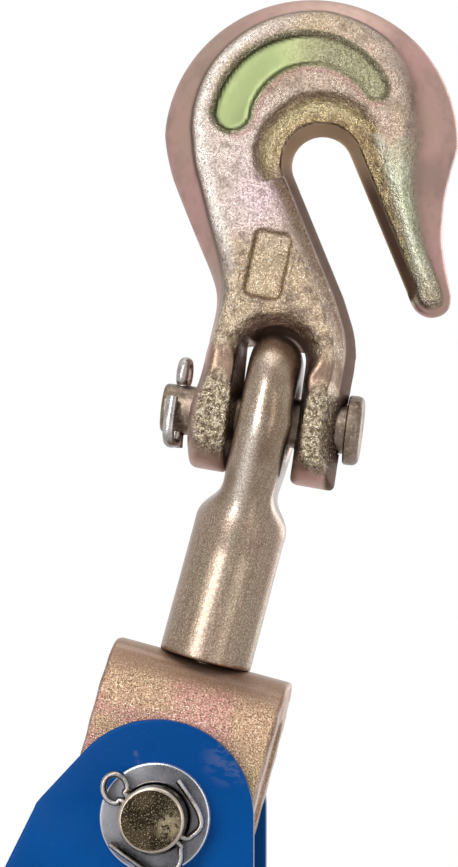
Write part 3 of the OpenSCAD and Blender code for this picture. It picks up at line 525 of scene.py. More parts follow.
def hookMarks(spots):                               # what the hook's face has at each flat place
    v, u = spots[:, 0], spots[:, 1]
    around = np.degrees(np.arctan2(u - hook["bowAt"][1], v - hook["bowAt"][0]))
    around = np.where(around < -90, around + 360, around)
    dOuter = distanceTo(spots, hookLine["outer"])
    dSlot = distanceTo(spots, hookLine["slot"])
    dCrotch = distanceTo(spots, hookLine["crotch"])
    run = (spots - hookLine["tineStart"]) @ hookLine["down"]
    onTine = (v > 6) & (u < 57) & (v + 0.56 * (u - hook["seat"][1]) > hook["seat"][0])
    body = np.interp(u, [0, 9, 12.6, 17, 21, 25.5, 47.8], [11, 10.4, 10.2, 9.6, 9, 9, 8])
    tine = np.interp(run, [0, 6, 12, 18, 23.4, 28, 31, 33.5], [8, 7.9, 7.6, 7.1, 6.2, 5.2, 4.3, 3])
    height = np.where(onTine, tine, body)
    bowFlank = np.interp(around, [5, 20, 40, 60, 90, 120, 150, 180], [6.6, 6.6, 5.2, 4, 3.4, 3.8, 4.4, 5.4])
    shankFlank = np.interp(u, [10, 20, 25, 30, 36, 42, 52], [0.8, 1.2, 1.8, 2.6, 3.4, 4.3, 5.4])
    tineFlank = np.interp(u, [24, 30, 40, 50, 58], [1.2, 1.8, 3.6, 5.6, 6.6])
    flank = np.where(onTine, tineFlank, np.where((u < 54.7) & (v < 1), shankFlank, bowFlank))
    turn = np.where(onTine, 4.4, np.interp(around, [10, 50, 90, 140], [4.4, 3.4, 2.8, 2.4]))
    crisp = np.where(onTine, 0.0, np.interp(around, [30, 80], [0, 1]))
    seatTurn = np.degrees(np.arctan2(u - hook["seat"][1], v - hook["seat"][0])) - hook["slant"]
    seatTurn = np.where(seatTurn < -180, seatTurn + 360, seatTurn)
    shelf = smoothStep((seatTurn + 5) / 50) * smoothStep((225 - seatTurn) / 85)
    nearTine = (seatTurn > -60) & (seatTurn < 80) & (u > 44)
    plainEdge = np.where(onTine, np.interp(run, [-4, 6, 20, 34], [5.4, 4.6, 3.2, 1.5]),
                         np.where(nearTine, 5.4, np.interp(u, [12, 20, 45], [2.0, 2.8, 3.6])))
    edge = plainEdge + (5.8 - plainEdge) * shelf
    kidneyV, kidneyU = hook["kidneyAt"]
    turnV, turnU = hook["kidneyTurnAt"]
    kidneyArc = np.degrees(np.arctan2(u - turnU, v - turnV))
    kidneyArc = np.clip(np.where(kidneyArc < -90, kidneyArc + 360, kidneyArc), 36, 176)
    sweep = np.interp(kidneyArc, [36, 100, 176], [hook["kidneySweep"], hook["kidneySweep"], 14.7])
    way = np.radians(kidneyArc)
    bend = np.stack([kidneyV + sweep * np.cos(way), kidneyU + sweep * np.sin(way)], 1)
    across = np.linalg.norm(spots - bend, axis=1)
    kidney = across - np.interp(kidneyArc, [36, 90, 140, 176], [2.9, 3.7, 4.3, 4.5])
    side = np.where(np.hypot(v - kidneyV, u - kidneyU) > sweep, 1.0, -1.0) * smoothStep(across / 2)
    lean, corner = math.radians(hook["tagLean"]), hook["tagCorner"]
    tagX, tagZ = v - hook["tagAt"][0], u - hook["tagAt"][1]
    along, across = math.cos(lean), math.sin(lean)
    tagX, tagZ = tagX * along - tagZ * across, tagX * across + tagZ * along
    wide, tall = hook["tagHalf"]
    box = np.stack([np.abs(tagX) - wide + corner, np.abs(tagZ) - tall + corner], 1)
    tag = np.hypot(*np.maximum(box, 0).T) + np.minimum(box.max(1), 0) - corner
    return {"v": v, "u": u, "dOuter": dOuter, "dSlot": dSlot, "dCrotch": dCrotch, "height": height,
            "flank": flank, "turn": turn, "crisp": crisp, "shelf": shelf, "edge": edge, "kidney": kidney,
            "kidneySide": side, "tag": tag, "onTine": onTine, "nearTine": nearTine, "run": run}


def earDraft(m):                                    # how far the draft reaches in from the ears' walls
    return np.interp(m["u"], [8, 14], [0.9, 2.6])


def hookHeight(m):                                  # half thickness of the hook at each flat place
    top = m["height"]
    rim = 0.70 * m["height"]
    share = np.clip(m["dOuter"] / m["flank"], 0, 1)
    outer = hook["parting"] + (rim - hook["parting"]) * share ** 0.8
    rise = np.clip((m["dOuter"] - m["flank"]) / m["turn"], 0, 1)
    rise = m["crisp"] * np.sqrt(1 - (1 - rise) ** 2) + (1 - m["crisp"]) * smoothStep(rise)
    outer = outer + (top - rim) * rise
    low = np.clip(m["u"] / 14, 0, 1)                # the ears have a plain rounded edge
    earEdge = top - 2.2 * (1 - np.clip(m["dOuter"] / 2.4, 0, 1)) ** 2
    outer = np.where(m["u"] < 14, outer * low + earEdge * (1 - low), outer)
    wall = hook["wall"]
    base = (0.60 - 0.06 * m["shelf"]) * top
    climb = np.clip((m["dSlot"] - wall) / m["edge"], 0, 1) ** (1.15 + 0.75 * m["shelf"])
    start = 0.6                                     # half thickness at the slot's very edge
    inner = np.where(m["dSlot"] < wall, start + (base - start) * m["dSlot"] / wall,
                     base + (top + 0.4 - base) * climb)
    crotch = np.interp(m["dCrotch"] / earDraft(m),
                       [0, 0.35, 0.75, 1.0, 1.5, 2.2], [1.0, 4.6, 7.2, 8.4, 9.6, 11.2])
    h = softMin(softMin(outer, inner, 1.1), crotch, 0.6)
    inward = np.clip(np.minimum(m["dOuter"] - m["flank"], m["dSlot"] - m["edge"]) / 8, 0, 1)
    crown = 0.8 * (1 - (1 - inward) ** 2)
    h = h + crown * smoothStep((m["u"] - 12) / 8)
    kidneyEase = np.where(m["kidneySide"] > 0, 1.7, 1.9)
    sink = hook["kidneyDepth"] * smoothStep(-m["kidney"] / kidneyEase)
    sink = sink + hook["tagDepth"] * smoothStep(0.5 - m["tag"] / 0.9)
    lip = 0.4 * np.exp(-((m["tag"] - 0.8) / 0.6) ** 2)
    return h - sink + lip


def hookField(spots):
    flat = spots[:, [0, 2]]
    m = hookMarks(flat)
    outline = np.where(isInside(flat, hookLine["whole"]), -1, 1) * np.minimum(
        np.minimum(m["dOuter"], m["dSlot"]), m["dCrotch"])
    y, u = np.abs(spots[:, 1]), m["u"]
    face = (y - hookHeight(m)) * 0.75
    ear = np.hypot(y, np.minimum(u, 0)) - hook["earReach"] - hook["earTaper"] * m["v"]
    skin = np.where(u < 2, softMax(ear, face, 0.8), face)
    solid = softMax(skin, outline, np.where(u < 14, 1.6, 0.8))
    roof = hook["crotch"] - np.hypot(spots[:, 1], u)  # behind the middle the roof follows the eye's sweep
    sides = np.abs(m["v"] - hook["gapMiddle"]) - hook["gapHalf"] - 0.6
    behind = np.maximum(-spots[:, 1], spots[:, 1] - hook["webBack"])
    web = np.maximum(np.maximum(sides, roof), np.maximum(u - hook["webTop"], behind))
    solid = softMin(solid, web, 0.5)
    ahead, up = hook["eyeSwing"]                    # the eye leans in the gap and swings past level
    reach = np.where(u < 0.23 * y, np.hypot(y, u), ahead * y + up * u)
    leftOf = -hook["eyeHalf"] - hook["eyeLean"] * reach - m["v"]
    room = np.maximum(leftOf, np.maximum(m["v"], u - hook["roomTop"]))
    solid = softMax(solid, -room, 0.4)
    hole = hook["pinHole"] - np.hypot(spots[:, 1], u)
    return np.maximum(solid, hole)


hookBox = {"low": (-29, -12, -12.2), "high": (34, 12, 84.5)}
hookPoints, hookQuads = netOf(hookField, hookBox["low"], hookBox["high"], hook["cell"])
hookPoints = settled(hookPoints, hookField)
hookMesh = meshOf("anchorHook", hookPoints, hookQuads, onHook)
print("anchor hook skin", len(hookQuads))

marks = hookMarks(hookPoints[:, [0, 2]])
facing = np.abs(hookPoints[:, 1]) / np.maximum(hookHeight(marks), 0.1)
onFace = smoothStep((facing - 0.5) / 0.3)
above = marks["dOuter"] - marks["flank"]
panelShare = np.where(marks["crisp"] > 0.5, smoothStep((above + 0.2) / 0.5),
                      smoothStep((above + 0.3) / (0.4 + 0.42 * marks["flank"])))
panelShare = np.where(marks["u"] < 12, smoothStep((marks["dOuter"] - 1.0) / 1.0), panelShare)
panelShare *= smoothStep((marks["dSlot"] - 1.6) / 0.6) * onFace
bevelShare = smoothStep((marks["edge"] + 1.8 - marks["dSlot"]) / 1.8)
bevelShare = bevelShare * smoothStep((marks["dSlot"] - 1.6) / 0.6)
tineSide = marks["onTine"] | marks["nearTine"]
hookZones = {
    "panel": panelShare,
    # painted light: the panel's left side on the shank is made lighter, as lit from the left
    "left": smoothStep((4 - marks["v"]) / 12) * smoothStep((66 - marks["u"]) / 14)
    * smoothStep((marks["u"] - 30) / 8),
    # painted highlight: a bright band along the panel's ridge beside the left crease
    "ridgeHighlight": np.exp(-((above - 1.7) / 1.0) ** 2) * smoothStep((6 - marks["v"]) / 8)
    * smoothStep((marks["u"] - 18) / 8) * smoothStep((80 - marks["u"]) / 10),
    "lilac": np.exp(-((marks["v"] + 6) / 6) ** 2 - ((marks["u"] - 43) / 8) ** 2),
    # painted highlight and painted shade across the slot's scooped shelf
    "shelfHighlight": np.exp(-((marks["dSlot"] - 4.7) / 1.0) ** 2) * marks["shelf"] * onFace,
    "shelfRimShade": np.exp(-((marks["dSlot"] - 7.0) / 0.55) ** 2) * marks["shelf"] * onFace,
    "shelf": bevelShare * np.where(tineSide, 1.0, marks["shelf"]) * onFace,
    "bevel": bevelShare * (1 - marks["shelf"]) * np.where(tineSide, 0.0, 1.0) * onFace,
    "tip": smoothStep((marks["run"] - 20) / 9) * marks["onTine"],
    # painted shade: the walls of the slot and of the crotch gap are made dark brown
    "wall": np.maximum(smoothStep((2.3 - marks["dSlot"]) / 0.6), smoothStep((0.9 - marks["dCrotch"]) / 0.6)),
    "kidney": smoothStep((0.3 - marks["kidney"]) / 0.8) * onFace,
    # painted shade on the kidney recess's outer wall
    "kidneyWallShade": smoothStep((0.3 - marks["kidney"]) / 0.4) * smoothStep((marks["kidney"] + 1.5) / 0.6)
    * (marks["kidneySide"] > 0) * onFace,
    "kidneyRim": np.exp(-((marks["kidney"] - 0.2) / 0.5) ** 2) * (marks["kidneySide"] < 0) * onFace,
    "kidneyLeft": smoothStep((4.0 - marks["v"]) / 13.0) * smoothStep((-0.9 - marks["kidney"]) / 0.5) * onFace,
    "tag": smoothStep((0.2 - marks["tag"]) / 0.5) * onFace,
    # painted shade round the wall of the tag's recess
    "tagRimShade": np.exp(-((marks["tag"] + 0.05) / 0.4) ** 2) * onFace,
    # painted shade: a dark line in the crease at the panel's base
    "creaseShade": (np.exp(-((above - 0.1) / 0.45) ** 2) * marks["crisp"]
               + 0.55 * np.exp(-((above - 0.6) / 1.5) ** 2) * (1 - marks["crisp"]))
    * smoothStep((marks["u"] - 16) / 6),
    "tine": np.where(marks["onTine"], smoothStep(marks["run"] / 10), 0.0),
    # painted highlight along the tine's crest
    "crestHighlight": np.exp(-((marks["dSlot"] - marks["edge"] - 0.9) / 0.8) ** 2) * marks["onTine"] * onFace,
    "slotTop": smoothStep((marks["u"] - 45) / 7),
    "low": smoothStep((36 - marks["u"]) / 12),
    "ear": smoothStep((13.5 - marks["u"]) / 3.5),
    "earFace": smoothStep((1.15 - np.hypot((np.abs(marks["v"] - 0.1) - 10.3) / 4.4,
                                           (marks["u"] + 1.8) / 8.6)) / 0.4) * onFace,
    "rimGold": smoothStep((4.2 - np.abs(np.hypot(marks["v"], marks["u"] - 12.5) - 10.2)) / 2)
    * smoothStep((marks["u"] - 11.5) / 2) * smoothStep((marks["dSlot"] - 2.2) / 1) * onFace,
    "earTip": smoothStep((-9.2 - marks["u"]) / 1.6),
    # painted light: the crotch's roof is made lighter than its shade
    "paintedLitHollow": smoothStep((1.0 - marks["dCrotch"] / earDraft(marks)) / 0.35),
    "line": np.exp(-(marks["dSlot"] / 0.25) ** 2) * np.where(marks["onTine"], 1.0, 0.0),
}
keepMarks(hookMesh, hookZones)


def forgedFinish():
    look = {"flank": tint(170, 143, 130), "flankPink": tint(182, 144, 138), "flankGrey": tint(136, 118, 106),
            "panel": tint(186, 166, 150), "panelPink": tint(202, 172, 168), "panelGold": tint(180, 160, 128),
            "panelGrey": tint(132, 115, 100), "left": tint(214, 197, 188), "ridgeHighlight": tint(250, 242, 236),
            "lilac": tint(212, 184, 198), "shelfHighlight": tint(222, 208, 164), "shelfRimShade": tint(120, 98, 76),
            "lowGold": tint(190, 168, 140), "lowGrey": tint(130, 110, 92), "green": tint(154, 172, 122),
            "tip": tint(236, 230, 196), "shelf": tint(184, 162, 118), "shelfDark": tint(136, 112, 76),
            "bevel": tint(132, 104, 80), "wall": tint(92, 66, 50), "wallTop": tint(162, 136, 110),
            "kidney": tint(136, 146, 102), "kidneyWallShade": tint(104, 94, 74), "kidneyRim": tint(168, 122, 118),
            "tag": tint(196, 178, 144), "creaseShade": tint(104, 84, 72), "crestHighlight": tint(238, 240, 220),
            "line": tint(208, 182, 136), "ear": tint(130, 108, 92), "earGold": tint(216, 203, 174),
            "earDark": tint(128, 109, 86), "earTip": tint(186, 150, 138), "paintedLitHollow": tint(186, 156, 142)}
    f = Finish("forgedZinc", {"Metallic": 0.9})
    cloud, patch, mottle = f.noise(75, 3, 0.55), f.noise(40, 2, 0.5), f.noise(380, 3, 0.6)
    speck, glint = f.noise(2300, 3, 0.7), f.noise(3300, 2, 0.6)
    panel, kidney, left, ear = f.mark("panel"), f.mark("kidney"), f.mark("kidneyLeft"), f.mark("ear")
    # the flank's own matte pink, painted darker than the panel as shade on the sloping flanks
    flank = f.mix(f.step(patch, 0.4, 0.6), look["flank"], look["flankPink"])
    flank = f.mix(f.step(cloud, 0.5, 0.7) * 0.6, flank, look["flankGrey"])
    flank = f.mix(f.step(mottle, 0.45, 0.7) * 0.3, flank, look["flankGrey"])
    face = f.mix(f.step(cloud, 0.46, 0.62) * 0.8, look["panel"], look["panelGold"])
    face = f.mix(f.step(patch, 0.5, 0.64) * 0.7, face, look["panelPink"])
    # painted light: the panel's left side made lighter; a lilac patch
    face = f.layered(face, look, [("left", 0.85), ("lilac", 0.5)])
    face = f.mix(f.step(mottle, 0.5, 0.66) * 0.5, face, look["panelGrey"])
    # painted highlight along the ridge beside the left crease
    face = f.mix(f.mark("ridgeHighlight") * 0.7, face, look["ridgeHighlight"])
    face = f.mix(f.mark("tine") * f.step(patch, 0.25, 0.5) * 0.7, face, look["green"])
    face = f.mix(f.mark("tip") * 0.6, face, look["tip"])
    # painted highlight: the crest colour laid in patches over the tine
    face = f.mix(f.mark("tine") * (f.step(mottle, 0.4, 0.6) * 0.4 + 0.2), face, look["crestHighlight"])
    low = f.mark("low")
    face = f.mix(low * 0.8, face, f.mix(f.step(mottle, 0.44, 0.62), look["lowGold"], look["lowGrey"]))
    face = f.mix(ear, face, look["ear"])
    gold = f.mix(f.step(f.noise(1100, 3, 0.65), 0.42, 0.6), look["earGold"], look["earDark"])
    face = f.mix(f.mark("earFace") * 0.9, face, gold)
    face = f.mix(f.mark("rimGold") * f.step(patch, 0.4, 0.55) * 0.6, face, gold)
    colour = f.mix(panel, flank, face)
    shelf = f.mix(f.step(mottle, 0.42, 0.62), look["shelf"], look["shelfDark"])
    colour = f.mix(f.mark("shelf") * 0.85, colour, shelf)
    # painted highlight and painted shade on the slot's shelf
    colour = f.layered(colour, look, [("shelfHighlight", 0.8), ("shelfRimShade", 0.8), ("bevel", 0.85),
                                      # painted highlight on the tine's crest
                                      ("crestHighlight", 0.6), ("earTip", 0.85)])
    # painted shade: dark walls in the slot and the crotch gap, lighter near the slot's top
    colour = f.mix(f.mark("wall"), colour, f.mix(f.mark("slotTop"), look["wall"], look["wallTop"]))
    # painted light: the crotch's roof made lighter
    colour = f.mix(f.mark("paintedLitHollow") * 0.85, colour, look["paintedLitHollow"])
    colour = f.mix(kidney * (0.6 + left * 0.4), colour, look["kidney"])
    # painted shade on the kidney's outer wall
    colour = f.layered(colour, look, [("kidneyWallShade", 0.8), ("kidneyRim", 0.6), ("tag", 0.4),
                                      # painted shade in the crease
                                      # painted shade round the tag's recess
                                      ("tagRimShade", 0.75, "shelfDark"), ("creaseShade", 0.75), ("line", 0.8)])
    rough = panel * (1.0 - left) * (1.0 - f.mark("wall")) * (1.0 - ear * 0.9) + f.mark("earFace") * 1.3
    colour = f.mix(f.step(speck, 0.56, 0.38) * rough * 0.52, colour, tint(112, 90, 72), "MULTIPLY")
    colour = f.mix(f.step(glint, 0.58, 0.72) * rough * (0.5 + low * 0.3), colour, tint(255, 250, 236))
    sheen = 0.38 + f.mark("wall") * 0.22 - panel * 0.14 + f.step(mottle, 0.3, 0.7) * 0.06 + left * 0.2
    fine = f.bump(f.noise(900, 2), 0.00005, 0.5)
    normal = f.bump((speck * 0.5 + mottle * 1.3) * rough, 0.00075, 0.9, fine)
    f.set({"Base Color": colour, "Roughness": sheen, "Normal": normal})
    return f.material


addPiece("anchorHook", hookMesh, "anchor_hook", forgedFinish(), ["anchor_hook"], smooth=180)
print("anchor hook dressed")


# swivel eye
eye = {"barRadius": 4.7, "inner": 9.8, "outer": 11.7, "broad": 0.94, "bend": 0.12, "pinHole": 5.05,
       "barrel": 8.8, "barrelTop": -16.9, "barrelBase": -47.72, "taper": 0.15, "shoulderEase": 4.2,
       "footEase": 0.35, "shank": 4.5, "shankTop": -30.0, "shankEnd": -62.7, "flare": 4.6,
       "web": [(-11.6, 0), (11.6, 0), (4.3, -20), (-4.3, -20)], "cell": 0.5}


def eyeField(p):
    x, y, z = p.T
    ring = np.hypot(y, z)
    over = (x + eye["bend"] * np.maximum(z, 0)) * eye["broad"]   # the bar bends over above the pin
    midRing, flatHalf = (eye["inner"] + eye["outer"]) / 2, (eye["outer"] - eye["inner"]) / 2
    bar = np.hypot(np.maximum(np.abs(ring - midRing) - flatHalf, 0), over) - eye["barRadius"]
    corners = np.array(eye["web"])
    flat = np.stack([y, z], 1)
    web = np.where(isInside(flat, corners), -1, 1) * distanceTo(flat, corners, True)
    web = np.maximum(web, eye["inner"] - ring)
    inside = np.clip(web, -0.5, 0) * 0.1
    web = np.hypot(np.maximum(web, 0), over) - eye["barRadius"] + inside
    radius = eye["barrel"] + eye["taper"] * (eye["barrelTop"] - z) / 28
    top, base = eye["barrelTop"], eye["barrelBase"]
    middle, half = (top + base) / 2, (top - base) / 2
    soft = np.where(z > middle, eye["shoulderEase"], eye["footEase"])
    side, cap = np.hypot(x, y) - radius + soft, np.abs(z - middle) - half + soft
    corner = np.hypot(np.maximum(side, 0), np.maximum(cap, 0))
    barrel = np.minimum(np.maximum(side, cap), 0) + corner - soft
    whole = softMin(softMin(bar, web, 0.8), barrel, eye["flare"])
    shank = softMax(np.hypot(x, y) - eye["shank"], np.maximum(eye["shankEnd"] - z, z - eye["shankTop"]), 0.8)
    return np.minimum(softMax(whole, eye["pinHole"] - ring, 0.2), shank)


eyePoints, eyeQuads = netOf(eyeField, (-10.2, -17.6, -64), (10.2, 17.6, 17.6), eye["cell"])
eyePoints = settled(eyePoints, eyeField)
eyeMesh = meshOf("swivelEye", eyePoints, eyeQuads, onPull)
eyeX, eyeY, eyeZ = eyePoints.T
paintedBarHighlight = np.exp(-((eyeX + 1.2 + eye["bend"] * np.maximum(eyeZ, 0)) / 1.2) ** 2)   # painted highlight along the bar's front
keepMarks(eyeMesh, {"barrel": smoothStep((-16.5 - eyeZ) / 5),
                    "lightenedZone": paintedBarHighlight * (0.35 + 0.65 * smoothStep((3 - eyeZ) / 6)) * (eyeY < 0)})
print("swivel eye skin", len(eyeQuads))


def drawnFinish():                                  # smooth plated steel with length marks
    look = {"base": tint(164, 146, 128), "brown": tint(128, 106, 88), "pink": tint(178, 150, 136),
            "gold": tint(220, 206, 180), "dark": tint(100, 80, 66), "olive": tint(142, 134, 112),
            "lightenedZone": tint(246, 234, 222)}
    f = Finish("swivelZinc", {"Metallic": 0.92})
    cloud, patch, speck = f.noise(60, 2, 0.5), f.noise(85, 2, 0.5), f.noise(3300, 3, 0.65)
    lines = f.noise(150, 3, 0.6, stretch=(7, 7, 0.45))
    barrel = f.mark("barrel")
    smooth = f.mix(f.step(cloud, 0.35, 0.55), look["brown"], look["base"])
    body = f.mix(f.step(cloud, 0.4, 0.65) * 0.5, look["base"], look["pink"])
    body = f.mix(f.step(lines, 0.5, 0.36) * 0.7, body, look["olive"])
    colour = f.mix(barrel, smooth, body)
    colour = f.mix(f.step(patch, 0.52, 0.66) * 0.5, colour, look["pink"])
    colour = f.mix(f.step(lines, 0.42, 0.62) * 0.45, colour, look["brown"])
    # painted highlight along the bar's front, faint on the barrel
    colour = f.mix(f.mark("lightenedZone") * (1.0 - barrel * 0.8) * 0.75, colour, look["lightenedZone"])
    colour = f.mix(f.step(speck, 0.57, 0.42) * 0.5, colour, look["dark"])
    colour = f.mix(f.step(speck, 0.54, 0.7) * (0.2 + barrel * 0.3), colour, look["gold"])
    rough = 0.17 + barrel * 0.1 + f.step(cloud, 0.3, 0.7) * 0.05
    normal = f.bump(speck, 0.00007, 0.5, f.bump(lines, 0.00008, 0.4))
    f.set({"Base Color": colour, "Roughness": rough, "Normal": normal})
    return f.material


swivelSkin = drawnFinish()
addPiece("swivelEye", eyeMesh, "swivel", swivelSkin, ["swivel_eye"], smooth=180)

# saddle
saddle = {"half": 17.35, "thick": 8.0, "bendRadius": 5.0, "gapHalf": 7.0, "pinDrop": 30.2, "pinHole": 6.65,
          "shankHole": 4.8, "ease": 0.9, "nick": 1.1, "nickAt": (17.7, -13.2, -12.2), "cell": 0.55}
saddleTop = jointAt["saddle_pivot"].z + saddle["pinDrop"] * mm
onSaddle = Matrix.Translation((jointAt["hook_pivot"].x, jointAt["hook_pivot"].y, saddleTop))


def saddleField(p):
    x, y, z = p.T
    flatHalf = saddle["gapHalf"] - saddle["bendRadius"]
    middle = saddle["bendRadius"] + saddle["thick"] / 2
    q = np.stack([np.abs(y) - flatHalf, z + saddle["bendRadius"] + saddle["thick"]], 1)
    shell = np.abs(np.hypot(*np.maximum(q, 0).T) - middle) - saddle["thick"] / 2
    low = z < -saddle["pinDrop"]
    outline = np.where(low, np.hypot(x, z + saddle["pinDrop"]), np.abs(x)) - saddle["half"]
    sheared = smoothStep((np.abs(y) - 9) / 3)        # the strip's outer side is a little uneven
    outline = outline + 0.12 * sheared * (np.sin(z * 0.9) * 0.5 + 0.5)
    whole = softMax(shell, outline, saddle["ease"])
    nick = saddle["nick"] - np.linalg.norm(p - saddle["nickAt"], axis=1)
    whole = softMax(whole, nick, 0.4)
    whole = softMax(whole, saddle["pinHole"] - np.hypot(x, z + saddle["pinDrop"]), 0.3)
    below = z + saddle["thick"] + saddle["bendRadius"]
    return softMax(whole, np.minimum(saddle["shankHole"] - np.hypot(x, y), below), 0.3)


saddlePoints, saddleQuads = netOf(saddleField, (-18.6, -16.2, -51), (18.6, 16.2, 1.2), saddle["cell"])
saddlePoints = settled(saddlePoints, saddleField)
saddleMesh = meshOf("saddle", saddlePoints, saddleQuads, onSaddle)
sideways = np.abs(saddlePoints[:, 0]) + np.where(saddlePoints[:, 2] < -saddle["pinDrop"], 9, 0) > 16.7
keepMarks(saddleMesh, {"bend": smoothStep((saddlePoints[:, 2] + 6.0) / 3), "sheared": sideways})
print("saddle skin", len(saddleQuads))


def saddleFinish():
    look = {"face": tint(190, 148, 128), "pink": tint(196, 134, 132), "gold": tint(188, 160, 120),
            "bend": tint(140, 112, 92), "side": tint(178, 154, 142), "dark": tint(104, 80, 64),
            "glint": tint(250, 232, 204)}
    f = Finish("saddleZinc", {"Metallic": 0.92})
    cloud, patch, mottle = f.noise(80, 3, 0.6), f.noise(50, 2), f.noise(420, 3, 0.6)
    speck, glint = f.noise(3000, 3, 0.7), f.noise(4000, 2, 0.6)
    bend, side = f.mark("bend"), f.mark("sheared")
    face = f.mix(f.step(patch, 0.46, 0.56), look["gold"], look["pink"])
    face = f.mix(f.step(cloud, 0.4, 0.6) * 0.5, face, look["face"])
    streak = f.noise(60, 3, 0.6, stretch=(0.5, 5, 5))
    smooth = f.mix(f.step(streak, 0.44, 0.64) * 0.6, look["bend"], look["side"])
    colour = f.mix(bend * 0.9, face, smooth)
    colour = f.mix(side, colour, f.mix(f.step(cloud, 0.4, 0.6), look["side"], look["bend"]))
    sparkle = (1.0 - bend * 0.75) * (1.0 - side * 0.5)
    colour = f.mix(f.step(speck, 0.57, 0.4) * sparkle * 0.9, colour, look["dark"])
    colour = f.mix(f.step(glint, 0.54, 0.66) * sparkle * 0.85, colour, look["glint"])
    rough = 0.34 + bend * 0.04 + f.step(cloud, 0.3, 0.7) * 0.08
    normal = f.bump((speck + mottle * 0.8) * sparkle, 0.0003, 0.8, f.bump(streak, 0.00006, 0.3))
    f.set({"Base Color": colour, "Roughness": rough, "Normal": normal})
    return f.material


addPiece("saddle", saddleMesh, "saddle", saddleFinish(), ["saddle"], smooth=180)


# frame plates: outlines with holes become sheets with eased edges
def sheetOf(name, loops, low, high, ease, place, bendAt=None, jog=0.0):   # loops in X and Z, between two Ys
    data = bpy.data.curves.new(name, "CURVE")
    data.dimensions, data.fill_mode = "2D", "BOTH"
    data.bevel_depth, data.bevel_resolution = ease * mm, 3
    data.offset, data.extrude = -ease * mm, ((high - low) / 2 - ease) * mm
    for loop in loops:
        line = data.splines.new("POLY")
        line.points.add(len(loop) - 1)
        line.points.foreach_set("co", np.concatenate(
            [loop * mm, np.zeros((len(loop), 1)), np.ones((len(loop), 1))], 1).ravel())
        line.use_cyclic_u = True
    mesh = plainMesh(addObject(name, data))
    mesh.transform(Matrix.Translation((0, (low + high) / 2 * mm, 0)) @ turnedBy(x=90))

    def close(work):                                # merges the seams and cuts the rows that bend
        bmesh.ops.remove_doubles(work, verts=work.verts, dist=2e-6)
        for height in bendAt or ():
            bmesh.ops.bisect_plane(work, geom=work.verts[:] + work.edges[:] + work.faces[:],
                                   plane_co=(0, 0, height * mm), plane_no=(0, 0, 1), dist=1e-6)
        bmesh.ops.recalc_face_normals(work, faces=work.faces)

    reworked(mesh, close)
    if bendAt:
        inward = -jog if low > 0 else jog
        for v in mesh.vertices:
            v.co.y += np.interp(v.co.z / mm, [bendAt[0], bendAt[-1]], [0, inward]) * mm
    mesh.transform(place)
    return mesh


def circle(x, z, r, steps=48):
    return arc((x, z), r, 0, 360 * (1 - 1 / steps), steps)


plate = {"in": 15.4, "thick": 3.5, "topRadius": 18.5, "topTurn": 21.9, "endRadius": 30.0, "endTurn": 4.79,
         "shoulder": [(22.2, -7.2), (22.15, -6.0), (21.7, -4.6)], "axleDrop": 100.0, "pawlDrop": 40.0,
         "tieSide": 13.0, "tieDrop": 27.0, "pinHole": 6.45, "axleHole": 6.1, "boltHole": 4.1, "ease": 0.55}


def mirrored(side):                                 # a closed outline from its right side
    return np.concatenate([side, (side * [-1, 1])[::-1][1:-1]])


plateLoop = mirrored(np.concatenate([
    arc((0, -plate["axleDrop"]), plate["endRadius"], -90, plate["endTurn"], 40), plate["shoulder"],
    arc((0, 0), plate["topRadius"], plate["topTurn"], 90, 36)]))
plateHoles = [circle(0, 0, plate["pinHole"]), circle(0, -plate["axleDrop"], plate["axleHole"]),
              circle(0, -plate["pawlDrop"], plate["boltHole"])]
plateHoles += [circle(side * plate["tieSide"], -plate["tieDrop"], plate["boltHole"]) for side in (-1, 1)]


def paintFinish(scuffAt):
    look = {"blue": tint(0, 76, 146), "deep": tint(0, 68, 134), "scuff": tint(80, 96, 140),
            "edge": tint(30, 104, 174)}
    f = Finish("bluePaint", {"Metallic": 0.0, "Specular IOR Level": 0.07})
    broad, fine = f.noise(30, 3), f.noise(900, 3, 0.6)
    place = f.noise(95, 4, 0.65, distortion=0.4)
    scratch = f.noise(60, 4, 0.7, stretch=(12, 3, 1.2))
    near = f.node("ShaderNodeVectorMath", {"operation": "DISTANCE"}, {0: f.where, 1: scuffAt}, "Value")
    rubbed = f.step(near, 0.0065, 0.002) * f.step(f.noise(260, 4, 0.7, stretch=(1, 1, 2.2)), 0.46, 0.58)
    scuff = f.maths("MAXIMUM", f.step(place, 0.68, 0.74) * f.step(fine, 0.35, 0.6), rubbed)
    line = f.step(scratch, 0.7, 0.74) * 0.4
    colour = f.mix(f.step(broad, 0.35, 0.65), look["deep"], look["blue"])
    colour = f.mix(scuff * 0.6, colour, look["scuff"])
    colour = f.mix(line, colour, look["edge"])
    peel = f.noise(420, 2)
    f.set({"Base Color": colour, "Roughness": 0.24 + scuff * 0.3 + f.step(fine, 0.4, 0.8) * 0.06,
           "Normal": f.bump(peel, 0.00004, 0.4, f.bump(scuff, 0.00003, 0.6))})
    return f.material


rubbedAt = Vector((9.2, -18.9, 15.3))               # a rubbed place near the plate's top
bluePaint = paintFinish(tuple(onFrame @ (rubbedAt * mm)))
for name, node, low in (("frontPlate", "front_plate", -plate["in"] - plate["thick"]),
                        ("backPlate", "back_plate", plate["in"])):
    mesh = sheetOf(name, [plateLoop] + plateHoles, low, low + plate["thick"], plate["ease"], onFrame)
    addPiece(name, mesh, "frame", bluePaint, [node], smooth=35)
print("frame plates")


